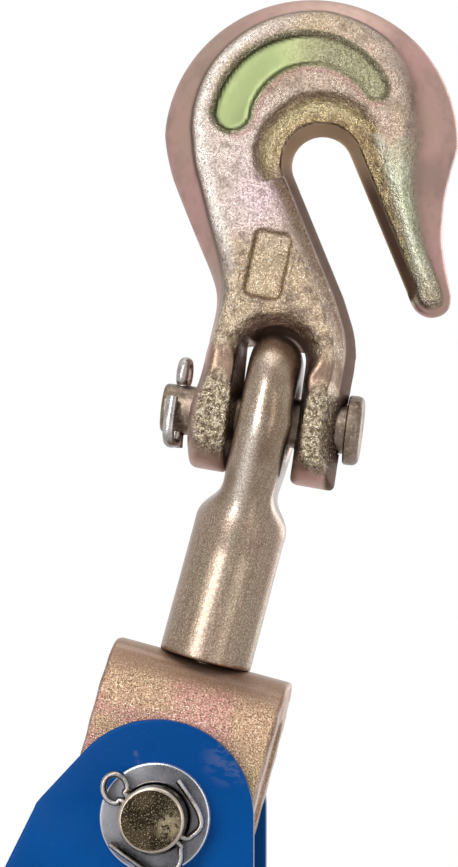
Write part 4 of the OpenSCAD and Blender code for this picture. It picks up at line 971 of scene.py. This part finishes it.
# plated and bare metals of the small pieces
def metalFinish(name, look):                        # base colour, a darker tone mixed in by noise, flecks
    f = Finish(name, {"Metallic": 1.0})
    cloud = f.noise(look.get("cloudScale", 160), 3, 0.6)
    speck = f.noise(look.get("speckScale", 1600), 3, 0.65)
    colour = f.mix(f.step(cloud, 0.36, 0.64), look["shade"], look["base"])
    colour = f.mix(f.step(speck, 0.5, 0.68) * look["flecks"], colour, look["fleck"])
    rough = look["rough"] + f.step(cloud, 0.3, 0.7) * 0.08 + f.step(speck, 0.45, 0.7) * 0.06
    if "edge" in look:                              # painted highlight on the edges
        colour = f.mix(f.mark("edge"), colour, look["edge"])
    normal = f.bump(speck, look.get("depth", 0.00006), 0.5)
    f.set({"Base Color": colour, "Roughness": rough, "Normal": normal})
    return f.material


pinZinc = metalFinish("pinZinc", {
    "base": tint(132, 117, 104), "shade": tint(98, 84, 74), "fleck": tint(190, 174, 150),
    "rough": 0.3, "flecks": 0.4})
brightZinc = metalFinish("brightZinc", {
    "base": tint(186, 186, 184), "shade": tint(150, 150, 150), "fleck": tint(214, 212, 206),
    "rough": 0.3, "flecks": 0.35})
washerSteel = metalFinish("washerSteel", {
    "base": tint(124, 124, 128), "shade": tint(90, 90, 94), "fleck": tint(170, 170, 172),
    # the edge colour is a painted highlight
    "edge": tint(226, 226, 230), "rough": 0.26, "flecks": 0.2, "cloudScale": 120, "speckScale": 2600})
splitPinSteel = metalFinish("splitPinSteel", {
    "base": tint(180, 175, 171), "shade": tint(128, 122, 118), "fleck": tint(226, 224, 220),
    "rough": 0.2, "flecks": 0.25})
drumSteel = metalFinish("drumSteel", {
    "base": tint(120, 116, 110), "shade": tint(78, 74, 70), "fleck": tint(150, 142, 128),
    "rough": 0.42, "flecks": 0.4, "depth": 0.00012, "speckScale": 900})
toothSteel = metalFinish("toothSteel", {
    "base": tint(142, 136, 128), "shade": tint(98, 92, 86), "fleck": tint(176, 166, 148),
    "rough": 0.34, "flecks": 0.35})
pawlZinc = metalFinish("pawlZinc", {
    "base": tint(186, 166, 130), "shade": tint(140, 118, 90), "fleck": tint(212, 190, 140),
    "rough": 0.34, "flecks": 0.45, "depth": 0.0001, "speckScale": 1100})
bronze = metalFinish("bushingBronze", {
    "base": tint(196, 150, 92), "shade": tint(150, 106, 60), "fleck": tint(220, 180, 120),
    "rough": 0.36, "flecks": 0.3})
springWire = metalFinish("springWire", {
    "base": tint(164, 164, 168), "shade": tint(120, 120, 126), "fleck": tint(196, 196, 200),
    "rough": 0.26, "flecks": 0.2})


def pinFaceFinish():                                # dark sparkly sawn face inside a bright turned rim
    look = {"face": tint(38, 31, 23), "brown": tint(70, 59, 44), "glint": tint(196, 184, 152),
            "pale": tint(140, 128, 104), "rim": tint(166, 154, 142), "side": tint(100, 90, 78)}
    f = Finish("anchorPinSteel", {"Metallic": 1.0})
    face, rim = f.mark("face"), f.mark("rim")
    speck, broad, mottle = f.noise(3600, 3, 0.75), f.noise(170, 2), f.noise(1100, 3, 0.65)
    inner = f.mix(f.step(broad, 0.48, 0.6) * 0.8, look["face"], look["brown"])
    inner = f.mix(f.step(mottle, 0.52, 0.66) * 0.5, inner, look["brown"])
    inner = f.mix(f.mark("lightenedZone") * f.step(mottle, 0.36, 0.56), inner, look["pale"])
    inner = f.mix(f.step(speck, 0.57, 0.64) * 0.7, inner, look["glint"])
    colour = f.mix(face, look["side"], inner)
    colour = f.mix(rim, colour, look["rim"])
    normal = f.bump((speck + mottle) * face, 0.0003, 0.8)
    f.set({"Base Color": colour, "Roughness": 0.42 - rim * 0.18, "Normal": normal})
    return f.material


def shifted(x, y, z):
    return Matrix.Translation(Vector((x, y, z)) * mm)


def drilled(mesh, radius, reach, place):            # a hole cut across a piece, along the place's own Z
    rod = bpy.data.meshes.new("cutter")
    reworked(rod, lambda work: bmesh.ops.create_cone(
        work, cap_ends=True, segments=32, radius1=radius * mm, radius2=radius * mm, depth=reach * mm))
    rod.transform(place)
    cutter, holder = addObject("cutter", rod), addObject("drilled", mesh)
    hole = holder.modifiers.new("cut", "BOOLEAN")
    hole.operation, hole.object, hole.solver = "DIFFERENCE", cutter, "EXACT"
    result = plainMesh(holder)
    bpy.data.objects.remove(cutter)
    return result


def joinedFlat(work):                               # one point at each place, and whole flat faces
    bmesh.ops.remove_doubles(work, verts=work.verts, dist=1e-6)
    bmesh.ops.dissolve_limit(work, angle_limit=math.radians(1), verts=work.verts, edges=work.edges)


def eased(node, width):                             # a copy of a CAD piece with its edges broken
    mesh = frame["nodes"][node].data.copy()
    reworked(mesh, joinedFlat)
    holder = addObject("eased", mesh)
    addBevel(holder, width, 32)
    return plainMesh(holder)


# clevis pin and its split pin
clevis = {"radius": 4.75, "from": -20.7, "headFrom": 15.0, "headTo": 18.0, "headRadius": 6.7, "ease": 0.9,
          "headEase": 1.3, "holeAt": -17.3, "hole": 1.62}


def clevisProfile(pin):                             # a rounded end, the shank and a low domed head
    r, head, ease, turn = (pin[k] for k in ("radius", "headRadius", "ease", "headEase"))
    end, seat, top = (pin[k] for k in ("from", "headFrom", "headTo"))
    return ([(0, end)] + rounded(r - ease, end + ease, ease, -90)
            + [(r, seat + 0.02), (head - 0.3, seat), (head, seat + 0.3)]
            + rounded(head - turn, top - turn, turn, 0)
            + [(3.9, top - 0.02), (3.5, top - 0.25), (0, top - 0.3)])


clevisMesh = turnedPiece("clevisPin", clevisProfile(clevis), 72, place=turnedBy(z=-90))
clevisMesh = drilled(clevisMesh, clevis["hole"], 30, shifted(clevis["holeAt"], 0, 0))
clevisMesh.transform(onHook)
addPiece("clevisPin", clevisMesh, "anchor_hook", pinZinc, ["clevis_pin"], smooth=40)


def splitPin(pin):                                  # both legs and the eye, as one line
    leg, eye = pin["leg"], pin["eye"]
    start = math.asin(leg / eye)
    turns = np.linspace(-math.pi / 2 + start, 1.5 * math.pi - start, 15)
    up = eye * (math.cos(start) + np.sin(turns)) * pin["tall"]
    loop = np.stack([eye * np.cos(turns) + pin["side"] * up / up.max(), pin["eyeAt"] + up], 1)
    upper = [(leg, 0.0)] + [tuple(p) for p in loop] + [(-leg, 0.0)]
    line = easedLine(pin["first"][::-1] + upper + pin["second"], 4)
    return np.hstack([line, np.zeros((len(line), 1))])


splitPins = {
    "clevisCotter": {
        "node": "clevis_cotter", "body": "anchor_hook", "radius": 0.75, "wide": 1.55,
        "first": [(0.75, -5.2), (1.2, -7.2)],
        "second": [(-0.75, -5.4), (-1.7, -6.9), (-3.95, -7.2), (-5.75, -5.6), (-6.25, -2.6), (-6.05, 1.4)],
        "leg": 0.75, "eye": 1.75, "eyeAt": 4.7, "tall": 1.45, "side": 0.0,
        "place": onHook @ shifted(clevis["holeAt"], 0, 0) @ turnedBy(z=-12)
        @ Matrix(((0, 0, 1, 0), (1, 0, 0, 0), (0, 1, 0, 0), (0, 0, 0, 1)))},
    "anchorCotter": {
        "node": "anchor_cotter", "body": "frame", "radius": 0.66, "wide": 2.6,
        "first": [(0.66, -6.6), (1.5, -7.6), (3.2, -8.8), (5.6, -9.0), (7.6, -7.3), (8.4, -4.5),
                  (8.5, -1.9), (8.6, 1.3), (8.6, 3.7)],
        "second": [(-0.66, -6.6), (-2.2, -7.8), (-4.4, -8.0), (-6.1, -6.4), (-7.2, -4.0), (-8.0, -1.7),
                   (-8.7, 0.5)],
        "leg": 0.66, "eye": 2.5, "eyeAt": 6.75, "tall": 1.0, "side": -0.8,
        "place": onFrame @ shifted(0, -24.2, 0) @ turnedBy(y=15)
        @ Matrix(((0, -1, 0, 0), (0, 0, 1, 0), (-1, 0, 0, 0), (0, 0, 0, 1)))},
}
for name, pin in splitPins.items():
    line = splitPin(pin)
    mesh = wirePiece(name, splitPinTree, line, pin["radius"], splitPinSteel, pin["place"], pin["wide"], 16)
    addPiece(name, mesh, pin["body"], splitPinSteel, [pin["node"]], smooth=60)
print("clevis pin and split pins")

# anchor pin and washer
anchor = {"radius": 6.35, "from": -29.15, "headFrom": 18.95, "headTo": 23.95, "headRadius": 9.5,
          "headEase": 0.8, "face": 5.75, "holeAt": -24.2, "hole": 2.25, "turn": 15}


def anchorProfile(pin):                             # a sawn end in a turned rim, the shank and a flat head
    r, head, ease = (pin[k] for k in ("radius", "headRadius", "headEase"))
    end, seat, top = (pin[k] for k in ("from", "headFrom", "headTo"))
    return ([(ring, end + 0.12) for ring in (0, 1.2, 2.4, 3.6, 4.8, 5.6)]
            + [(5.8, end), (6.0, end + 0.08), (r - 0.1, end + 0.4), (r, end + 0.9)]
            + [(r, seat), (head - 0.3, seat)] + rounded(head - ease, top - ease, ease, 0) + [(0, top)])


def turnedPlaces(mesh):                             # each point's place and its distance from the axis
    spots = np.array([v.co for v in mesh.vertices]) / mm
    return spots, np.hypot(spots[:, 0], spots[:, 2])


anchorMesh = turnedPiece("anchorPin", anchorProfile(anchor), 80)
across = shifted(0, anchor["holeAt"], 0) @ turnedBy(y=anchor["turn"])
anchorMesh = drilled(anchorMesh, anchor["hole"], 40, across)
spots, radius = turnedPlaces(anchorMesh)
# a paler patch off the middle of the sawn face
palePatchDistance = np.hypot(spots[:, 0] - 3.4, spots[:, 2] - 0.4)
keepMarks(anchorMesh, {
    "face": (spots[:, 1] < anchor["from"] + 0.3) & (radius < anchor["face"]),
    "rim": (spots[:, 1] < anchor["from"] + 1.1) & (radius > anchor["face"]),
    "lightenedZone": smoothStep((3.4 - palePatchDistance) / 2.4)})
anchorMesh.transform(onFrame)
addPiece("anchorPin", anchorMesh, "frame", pinFaceFinish(), ["anchor_pin"], smooth=25)

washer = {"inner": 6.7, "outer": 10.5, "seat": -18.95, "top": -21.35}


def washerProfile(washer):                          # a pressed washer with soft edges
    inner, outer, seat, top = (washer[k] for k in ("inner", "outer", "seat", "top"))
    return [(inner, seat), (inner, top + 0.35), (inner + 0.15, top + 0.1), (inner + 0.35, top),
            (inner + 0.5, top), (outer - 0.55, top), (outer - 0.4, top + 0.02), (outer - 0.15, top + 0.15),
            (outer, top + 0.45), (outer, seat - 0.45), (outer - 0.2, seat)]


washerMesh = turnedPiece("anchorWasher", washerProfile(washer), 96)
radius = turnedPlaces(washerMesh)[1]
# painted highlight at the washer's outer and inner edges
keepMarks(washerMesh, {"edge": (radius > washer["outer"] - 0.3) | (radius < washer["inner"] + 0.2)})
washerMesh.transform(onFrame)
addPiece("anchorWasher", washerMesh, "frame", washerSteel, ["anchor_washer"], smooth=25)


# bolts, nuts, spacers, washers and rivets: one of each is turned, then set down on its places
def threaded(r, start, end, pitch=1.25):            # the thread's profile along a bolt
    count = int((end - start - 0.6) / pitch)
    out = []
    for k in range(count):
        y = start + k * pitch
        out += [(r - 0.62, y + 0.12), (r, y + 0.6), (r, y + 0.78)]
    return out + [(r - 0.62, end - 0.6), (r - 0.75, end), (0, end)]


def hexCorner(flats):
    return flats / 2 / math.cos(math.pi / 6) + 0.05


def hexEdge(flats, face, way):                      # from a hexagon's face round its broken edge
    return [(flats * 0.46, face), (flats * 0.49, face + 0.12 * way), (hexCorner(flats), face + 0.95 * way)]


def hexHead(flats, top, seat):                      # from the middle of the head's top down to its seat
    return [(0, top)] + hexEdge(flats, top, 1 if seat > top else -1) + [(hexCorner(flats), seat)]


def boltProfile(r, flats, top, seat, start, end):
    return hexHead(flats, top, seat) + [(r, seat + 0.02), (r, start - 0.3)] + threaded(r, start, end)


def nutProfile(r, flats, low, high):
    return ([(r, low + 0.5), (r + 0.5, low)] + hexEdge(flats, low, 1)
            + hexEdge(flats, high, -1)[::-1] + [(r + 0.5, high), (r, high - 0.5)])


def ringProfile(inner, outer, low, high, ease):
    return [(inner, low + ease), (inner + ease, low), (outer - ease, low), (outer, low + ease),
            (outer, high - ease), (outer - ease, high), (inner + ease, high), (inner, high - ease)]


def rivetProfile(r, head, seat, rise):              # a domed head at both ends
    dome = [(head * math.cos(t), rise * math.sin(t)) for t in np.radians([90, 72, 54, 38, 24, 10, 0])]
    up = [(x, seat + y) for x, y in dome]
    return up + [(r, seat), (r, -seat)] + [(x, -y) for x, y in up[::-1]]


tieSpots = [(side * plate["tieSide"], 0, -plate["tieDrop"], turn, 0) for side, turn in ((-1, 0.2), (1, 0.5))]
yokeSpot = [(-13, 0, 73, 0.1, 0)]
bothSides = [(0, 0, 0, 0, 0), (0, 0, 0, 0, 1)]
rivetSpots = [(0, 0, z, 0, 0) for z in (108.8, 130.8)]
lockSpots = [(13.52 * math.cos(t), 0, 13.52 * math.sin(t), 0, 0) for t in np.radians([90, 210, 330])]
fasteners = [
    ("tieBolts", "tie_bolts", boltProfile(4, 13, -24.25, -18.95, 18.95, 27.05), 13,
     tieSpots, onFrame, "frame", 0.9),
    ("tieNuts", "tie_nuts", nutProfile(4.02, 13, 18.95, 25.45), 13, tieSpots, onFrame, "frame", 0.9),
    ("tieSpacers", "tie_spacers", ringProfile(4.1, 6, -15.35, 15.35, 0.35), 0, tieSpots, onFrame, "frame", 0),
    ("yokeBolt", "yoke_bolt", boltProfile(4, 13, -28.65, -23.35, 23.35, 31.45), 13,
     yokeSpot, onHandle, "handle", 0.9),
    ("yokeNut", "yoke_nut", nutProfile(4.02, 13, 23.35, 29.85), 13, yokeSpot, onHandle, "handle", 0.9),
    ("yokeSpacer", "yoke_spacer", ringProfile(4.1, 6, -19.2, 19.2, 0.35), 0, yokeSpot, onHandle, "handle", 0),
    ("drumAxle", "drum_axle", boltProfile(6, 19, -33.25, -25.75, 25.75, 38.75), 19,
     bothSides[:1], onAxle, "frame", 0.5),
    ("axleNut", "axle_nut", nutProfile(6.02, 19, 25.75, 35.75), 19, bothSides[:1], onAxle, "frame", 0.9),
    ("axleWashers", "axle_washers", ringProfile(6.1, 13, 23.7, 25.7, 0.3), 0, bothSides, onAxle, "frame", 0),
    ("handleRivets", "handle_rivets", rivetProfile(4, 6.6, 17.6, 3), 0, rivetSpots, onHandle, "handle", 0),
    ("drumLockPins", "drum_lock_pins", ringProfile(0.01, 1.5, -14.9, 14.9, 0.3), 0,
     lockSpots, onAxle, "drum", 0),
]
for name, node, profile, flats, spots, place, body, turn in fasteners:
    single = turnedPiece(name + "One", profile, 72 if flats else 48, flats)
    mesh = repeated(name, single, spots, brightZinc, place, turn)
    addPiece(name, mesh, body, brightZinc, [node], smooth=28)
print("fasteners", len(fasteners))

# ratchet wheels
ratchet = {"Teeth": 12, "Tip": 46 * mm, "Root": 38.5 * mm, "Land": math.radians(3),
           "Floor": math.radians(4), "Phase": math.radians(135), "Bore": 11.09 * mm, "Pins": 3,
           "Pin Ring": 13.52 * mm, "Pin Hole": 1.55 * mm, "Thick": 5.95 * mm}


def ratchetGrowth(sizes):                           # teeth set out by rule round the wheel
    g = Growth("ratchetTree", dict(sizes, Material=None))

    def loop(count, radius):
        return g.node("GeometryNodeCurvePrimitiveCircle", inputs={"Resolution": count, "Radius": radius})

    def joined(*parts):
        join = g.tree.nodes.new("GeometryNodeJoinGeometry")
        for part in parts:
            g.tree.links.new(part.socket, join.inputs[0])
        return Signal(g, join.outputs[0])

    index = g.node("GeometryNodeInputIndex")
    tooth = g.maths("FLOOR", (index + 0.5) / 4.0)
    corner = index - tooth * 4.0
    pitch = g.maths("DIVIDE", 2 * math.pi, g["Teeth"])
    isLand = g.maths("COMPARE", corner, 1.0, 0.5)
    isFoot = g.maths("COMPARE", corner, 2.0, 0.5)
    isEnd = g.maths("COMPARE", corner, 3.0, 0.5)
    angle = g["Phase"] + tooth * pitch + isLand * g["Land"] + isFoot * (pitch - g["Floor"]) + isEnd * pitch
    radius = g["Tip"] + (isFoot + isEnd) * (g["Root"] - g["Tip"])
    place = g.vector(radius * g.maths("COSINE", angle), radius * g.maths("SINE", angle), 0.0)
    outline = loop(g["Teeth"] * 4.0, 1.0)
    outline = g.node("GeometryNodeSetPosition", inputs={"Geometry": outline, "Position": place})
    bore, hole = loop(72, g["Bore"]), loop(24, g["Pin Hole"])
    ring = loop(g["Pins"], g["Pin Ring"])
    ring = g.node("GeometryNodeTransform", inputs={"Geometry": ring, "Rotation": (0, 0, math.pi / 2)})
    holes = g.node("GeometryNodeInstanceOnPoints", inputs={"Points": ring, "Instance": hole})
    holes = g.node("GeometryNodeRealizeInstances", inputs={0: holes})
    face = g.node("GeometryNodeFillCurve", {"mode": "NGONS"}, {"Curve": joined(outline, bore, holes)})
    top = g.node("GeometryNodeExtrudeMesh", inputs={
        "Mesh": face, "Offset": (0, 0, 1), "Offset Scale": g["Thick"], "Individual": False})
    under = g.node("GeometryNodeFlipFaces", inputs={"Mesh": face})
    whole = g.node("GeometryNodeMergeByDistance", inputs={0: joined(top, under), "Distance": 2e-6})
    return g.close(whole)


ratchetTree = ratchetGrowth(ratchet)
for name, node, face in (("frontRatchet", "front_ratchet", -9.05), ("backRatchet", "back_ratchet", 15.0)):
    mesh = ratchetTree.grow(name, bpy.data.meshes.new(name + "Seed"), {"Material": toothSteel}, bevel=0.35)
    mesh.transform(onAxle @ shifted(0, face, 0) @ turnedBy(x=90))
    addPiece(name, mesh, "drum", toothSteel, [node], smooth=30)
print("ratchet wheels")

# pieces that keep the frame's shape, with their edges broken
easedPieces = [
    ("swivelCollar", "swivel_collar", "swivel", "swivel_zinc", swivelSkin, 0.3),
    ("drumBarrel", "drum_barrel", "drum", "drum_steel", drumSteel, 0.3),
    ("drumBushing", "drum_bushing", "drum", "bronze", bronze, 0.2),
    ("ropeClampScrew", "rope_clamp_screw", "drum", "pin_steel", toothSteel, 0.25),
    ("holdingPawl", "holding_pawl", "holding_pawl", "tooth_steel", pawlZinc, 0.5),
    ("drivePawl", "drive_pawl", "drive_pawl", "tooth_steel", pawlZinc, 0.5),
    ("holdingPawlPin", "holding_pawl_pin", "frame", "pin_steel", toothSteel, 0.2),
    ("holdingPawlRings", "holding_pawl_rings", "frame", "spring_wire", springWire, 0.15),
    ("drivePawlPin", "drive_pawl_pin", "handle", "pin_steel", toothSteel, 0.2),
    ("drivePawlRings", "drive_pawl_rings", "handle", "spring_wire", springWire, 0.15),
]
for name, node, body, slotName, finish, width in easedPieces:
    addPiece(name, eased(node, width), body, finish, [node], smooth=32)

# pawl springs
spring = {"radius": 0.8, "coil": 5.6, "from": 280.0, "turn": 1970.0, "pitch": 2.2, "bridge": (51.8, 117.9),
          "bridgeRadius": 3.5, "gap": 0.3, "past": 3.5, "tieEnd": (-13.0, 5.9), "pin": 60.0}


def springLine(spring, lift):
    r, start = spring["coil"], math.radians(spring["from"])
    reach, way = spring["bridge"][0], math.radians(spring["bridge"][1])
    x, z = reach * math.cos(way), reach * math.sin(way) - spring["pin"]
    c, s = math.cos(math.radians(lift)), math.sin(math.radians(lift))
    first = r * np.array([math.cos(start), math.sin(start)])
    toBridge = np.array([x * c + z * s, z * c - x * s]) - first
    far = np.hypot(*toBridge)
    clear = spring["bridgeRadius"] + spring["radius"] + spring["gap"]
    aim = math.atan2(toBridge[1], toBridge[0]) - math.asin(clear / far)
    legEnd = first + (far + spring["past"]) * np.array([math.cos(aim), math.sin(aim)])
    half = spring["pitch"] * spring["turn"] / 720
    t = np.linspace(0, 1, 132)
    turns = start + math.radians(spring["turn"]) * t
    coil = np.stack([r * np.cos(turns), half * (2 * t - 1), r * np.sin(turns)], 1)
    tieX, tieZ = spring["tieEnd"]
    return np.concatenate([[(legEnd[0], -half, legEnd[1])], coil,
                           [(tieX, half, tieZ), (tieX - 3.5, half, tieZ)]])


springs = (("holdingPawlSpring", "holding_pawl_spring", "frame", onAxle, 0),
           ("drivePawlSpring", "drive_pawl_spring", "handle", onHandle, 24))
for name, node, body, place, lift in springs:
    place = place @ shifted(0, 0, spring["pin"])
    mesh = wirePiece(name, springTree, springLine(spring, lift), spring["radius"], springWire, place, 1.0, 14)
    addPiece(name, mesh, body, springWire, [node], smooth=60)
print("pawl springs")

# yoke arms, tube and grip
arm = {"half": 20.0, "jogFrom": 82.0, "jogTo": 100.0, "jog": 5.75, "rows": 7, "tube": 13.5, "end": 144.0,
       "in": 19.3, "thick": 4.0, "ease": 0.6, "axleHole": 6.3, "holeRadius": 4.1,
       "holes": [(0, 60), (-13, 73), (0, 108.8), (0, 130.8)]}
armLoop = mirrored(np.concatenate([
    arc((0, 0), arm["half"], -90, 0, 24),
    [(arm["half"], 40), (arm["half"], arm["jogFrom"]), (arm["tube"], arm["jogTo"])],
    arc((0, arm["end"] - arm["tube"]), arm["tube"], 0, 90, 24)]))
armHoles = [circle(0, 0, arm["axleHole"])]
armHoles += [circle(x, z, arm["holeRadius"]) for x, z in arm["holes"]]
bends = list(np.linspace(arm["jogFrom"], arm["jogTo"], arm["rows"]))
for name, node, low in (("frontYokeArm", "front_yoke_arm", -arm["in"] - arm["thick"]),
                        ("backYokeArm", "back_yoke_arm", arm["in"])):
    high = low + arm["thick"]
    mesh = sheetOf(name, [armLoop] + armHoles, low, high, arm["ease"], onHandle, bends, arm["jog"])
    addPiece(name, mesh, "handle", bluePaint, [node], smooth=35)

tube = {"inner": 11.5, "outer": 13.5, "from": 94, "to": 366, "ease": 0.3}
tubeProfile = ringProfile(tube["inner"], tube["outer"], tube["from"], tube["to"], tube["ease"])
tubeMesh = turnedPiece("handleTube", tubeProfile, 96, place=onHandle @ turnedBy(x=90))
addPiece("handleTube", tubeMesh, "handle", bluePaint, ["handle_tube"], smooth=30)

grip = {"Length": 128.0, "Radius": 16.15, "Collar": 17.75, "Collar Length": 3.0, "Ribs": 16,
        "Pitch": 7.224, "Rib": 0.9, "Rib Width": 3.2, "Crown": 3.5}


def gripGrowth(sizes):                              # a round grip, its radius set by a rule along its length
    g = Growth("gripTree", dict(sizes, Material=None))
    length = g["Length"]
    line = g.node("GeometryNodeCurvePrimitiveLine", {"mode": "POINTS"}, {
        "Start": (0, 0, 0), "End": g.vector(0.0, 0.0, length * mm)})
    line = g.node("GeometryNodeResampleCurve", inputs={"Curve": line, "Count": length * 3.0})
    place = g.node("ShaderNodeSeparateXYZ", inputs={0: g.node("GeometryNodeInputPosition")}, output=2) / mm
    number = g.maths("ROUND", (place - 1.0) / g["Pitch"])
    number = g.maths("MINIMUM", g.maths("MAXIMUM", number, 1.0), g["Ribs"])
    off = g.maths("ABSOLUTE", place - 1.0 - number * g["Pitch"])
    rib = g.node("ShaderNodeMapRange", {"interpolation_type": "SMOOTHSTEP"}, {
        "Value": off - g["Rib Width"] * 0.5, "From Min": 0.45, "From Max": -0.45, "To Min": 0.0,
        "To Max": g["Rib"]})
    collar = g.node("ShaderNodeMapRange", {"interpolation_type": "SMOOTHSTEP"}, {
        "Value": place - g["Collar Length"], "From Min": 0.4, "From Max": -0.4, "To Min": 0.0,
        "To Max": g["Collar"] - g["Radius"]})
    past = g.maths("MAXIMUM", place - length + g["Crown"], 0.0)
    crown = g["Crown"] - g.maths("SQRT", g.maths("MAXIMUM", g["Crown"] * g["Crown"] - past * past, 0.0))
    lip = g.maths("MAXIMUM", 0.6 - place, 0.0) * 0.8
    ring = g.node("GeometryNodeCurvePrimitiveCircle", inputs={"Resolution": 96, "Radius": 1.0 * mm})
    radius = g["Radius"] + rib + collar - crown - lip
    skin = g.node("GeometryNodeCurveToMesh", inputs={
        "Curve": line, "Profile Curve": ring, "Scale": radius, "Fill Caps": True})
    return g.close(skin)


def rubberFinish():
    look = {"black": tint(30, 30, 31), "grey": tint(56, 56, 57), "dust": tint(84, 82, 78)}
    f = Finish("gripRubber", {"Metallic": 0.0, "Specular IOR Level": 0.35})
    broad, fine = f.noise(60, 3), f.noise(1400, 3, 0.7)
    colour = f.mix(f.step(broad, 0.35, 0.65), look["black"], look["grey"])
    colour = f.mix(f.step(fine, 0.62, 0.8) * 0.25, colour, look["dust"])
    rough = 0.55 + f.step(broad, 0.3, 0.7) * 0.12
    f.set({"Base Color": colour, "Roughness": rough, "Normal": f.bump(fine, 0.00008, 0.6)})
    return f.material


gripRubber = rubberFinish()
gripMesh = gripGrowth(grip).grow("handleGrip", bpy.data.meshes.new("gripSeed"), {"Material": gripRubber})
gripMesh.transform(onHandle @ shifted(0, 0, 240.6))
addPiece("handleGrip", gripMesh, "handle", gripRubber, ["handle_grip"], smooth=40)
print("handle")


# light, floor and world
lamps = {"key": {"at": (-0.58, -1.15, 0.3), "size": (0.26, 1.7), "power": 13.0},
         "fill": {"at": (0.8, -1.2, 0.2), "size": (0.14, 1.4), "power": 2.4},
         "top": {"at": (-0.2, 0.2, 1.3), "size": (0.9, 0.9), "power": 4.4},
         "back": {"at": (0.8, 1.2, 0.4), "size": (0.5, 1.2), "power": 5.0}}
for name, lamp in lamps.items():
    data = bpy.data.lights.new(name, "AREA")
    data.shape, data.energy = "RECTANGLE", lamp["power"]
    data.size, data.size_y = lamp["size"]
    shining = addObject(name, data)
    shining.location = lamp["at"]
    toPart = Vector((0, 0, -0.1)) - Vector(lamp["at"])
    shining.rotation_euler = toPart.to_track_quat("-Z", "Y").to_euler()


class Studio(NodeWork):                             # nodes of the white room and its floor
    def __init__(self, tree):
        self.tree = tree

    def seen(self):                                 # 1 for the camera's, mirrored and see-through rays
        rays = ["Is Camera Ray", "Is Glossy Ray", "Is Transmission Ray"]
        camera, glossy, through = [self.node("ShaderNodeLightPath", output=ray) for ray in rays]
        return self.maths("MAXIMUM", camera, self.maths("MAXIMUM", glossy, through))


world = bpy.data.worlds.new("studioWorld")
bpy.context.scene.world = world
world.use_nodes = True
world.node_tree.nodes.clear()
studio = Studio(world.node_tree)
white = studio.node("ShaderNodeBackground", inputs={"Color": (1, 1, 1, 1), "Strength": 1.0})
ambient = studio.node("ShaderNodeBackground", inputs={"Color": (1, 1, 1, 1), "Strength": 0.42})
room = studio.node("ShaderNodeMixShader", inputs={0: studio.seen(), 1: ambient, 2: white})
studio.node("ShaderNodeOutputWorld", inputs={"Surface": room}, output=None)

disc = {"radius": 4800, "height": -640, "sides": 96}
way = np.linspace(0, 2 * math.pi, disc["sides"], endpoint=False)
rim = [(disc["radius"] * math.cos(t), disc["radius"] * math.sin(t), disc["height"]) for t in way]
floorMesh = meshOf("studioFloor", rim, [tuple(range(disc["sides"]))])
floor = addObject("studioFloor", floorMesh)
paper = bpy.data.materials.new("floorPaper")
paper.use_nodes = True
paper.node_tree.nodes.clear()
ground = Studio(paper.node_tree)
matt = ground.node("ShaderNodeBsdfDiffuse", inputs={"Color": (0.86, 0.86, 0.86, 1)})
glow = ground.node("ShaderNodeEmission", inputs={"Color": (1, 1, 1, 1), "Strength": 1.0})
lit = ground.node("ShaderNodeMixShader", inputs={0: ground.seen() * 0.88, 1: matt, 2: glow})
ground.node("ShaderNodeOutputMaterial", inputs={"Surface": lit}, output=None)
floorMesh.materials.append(paper)

bpy.context.scene.view_settings.view_transform = "Standard"
print("scene ready")
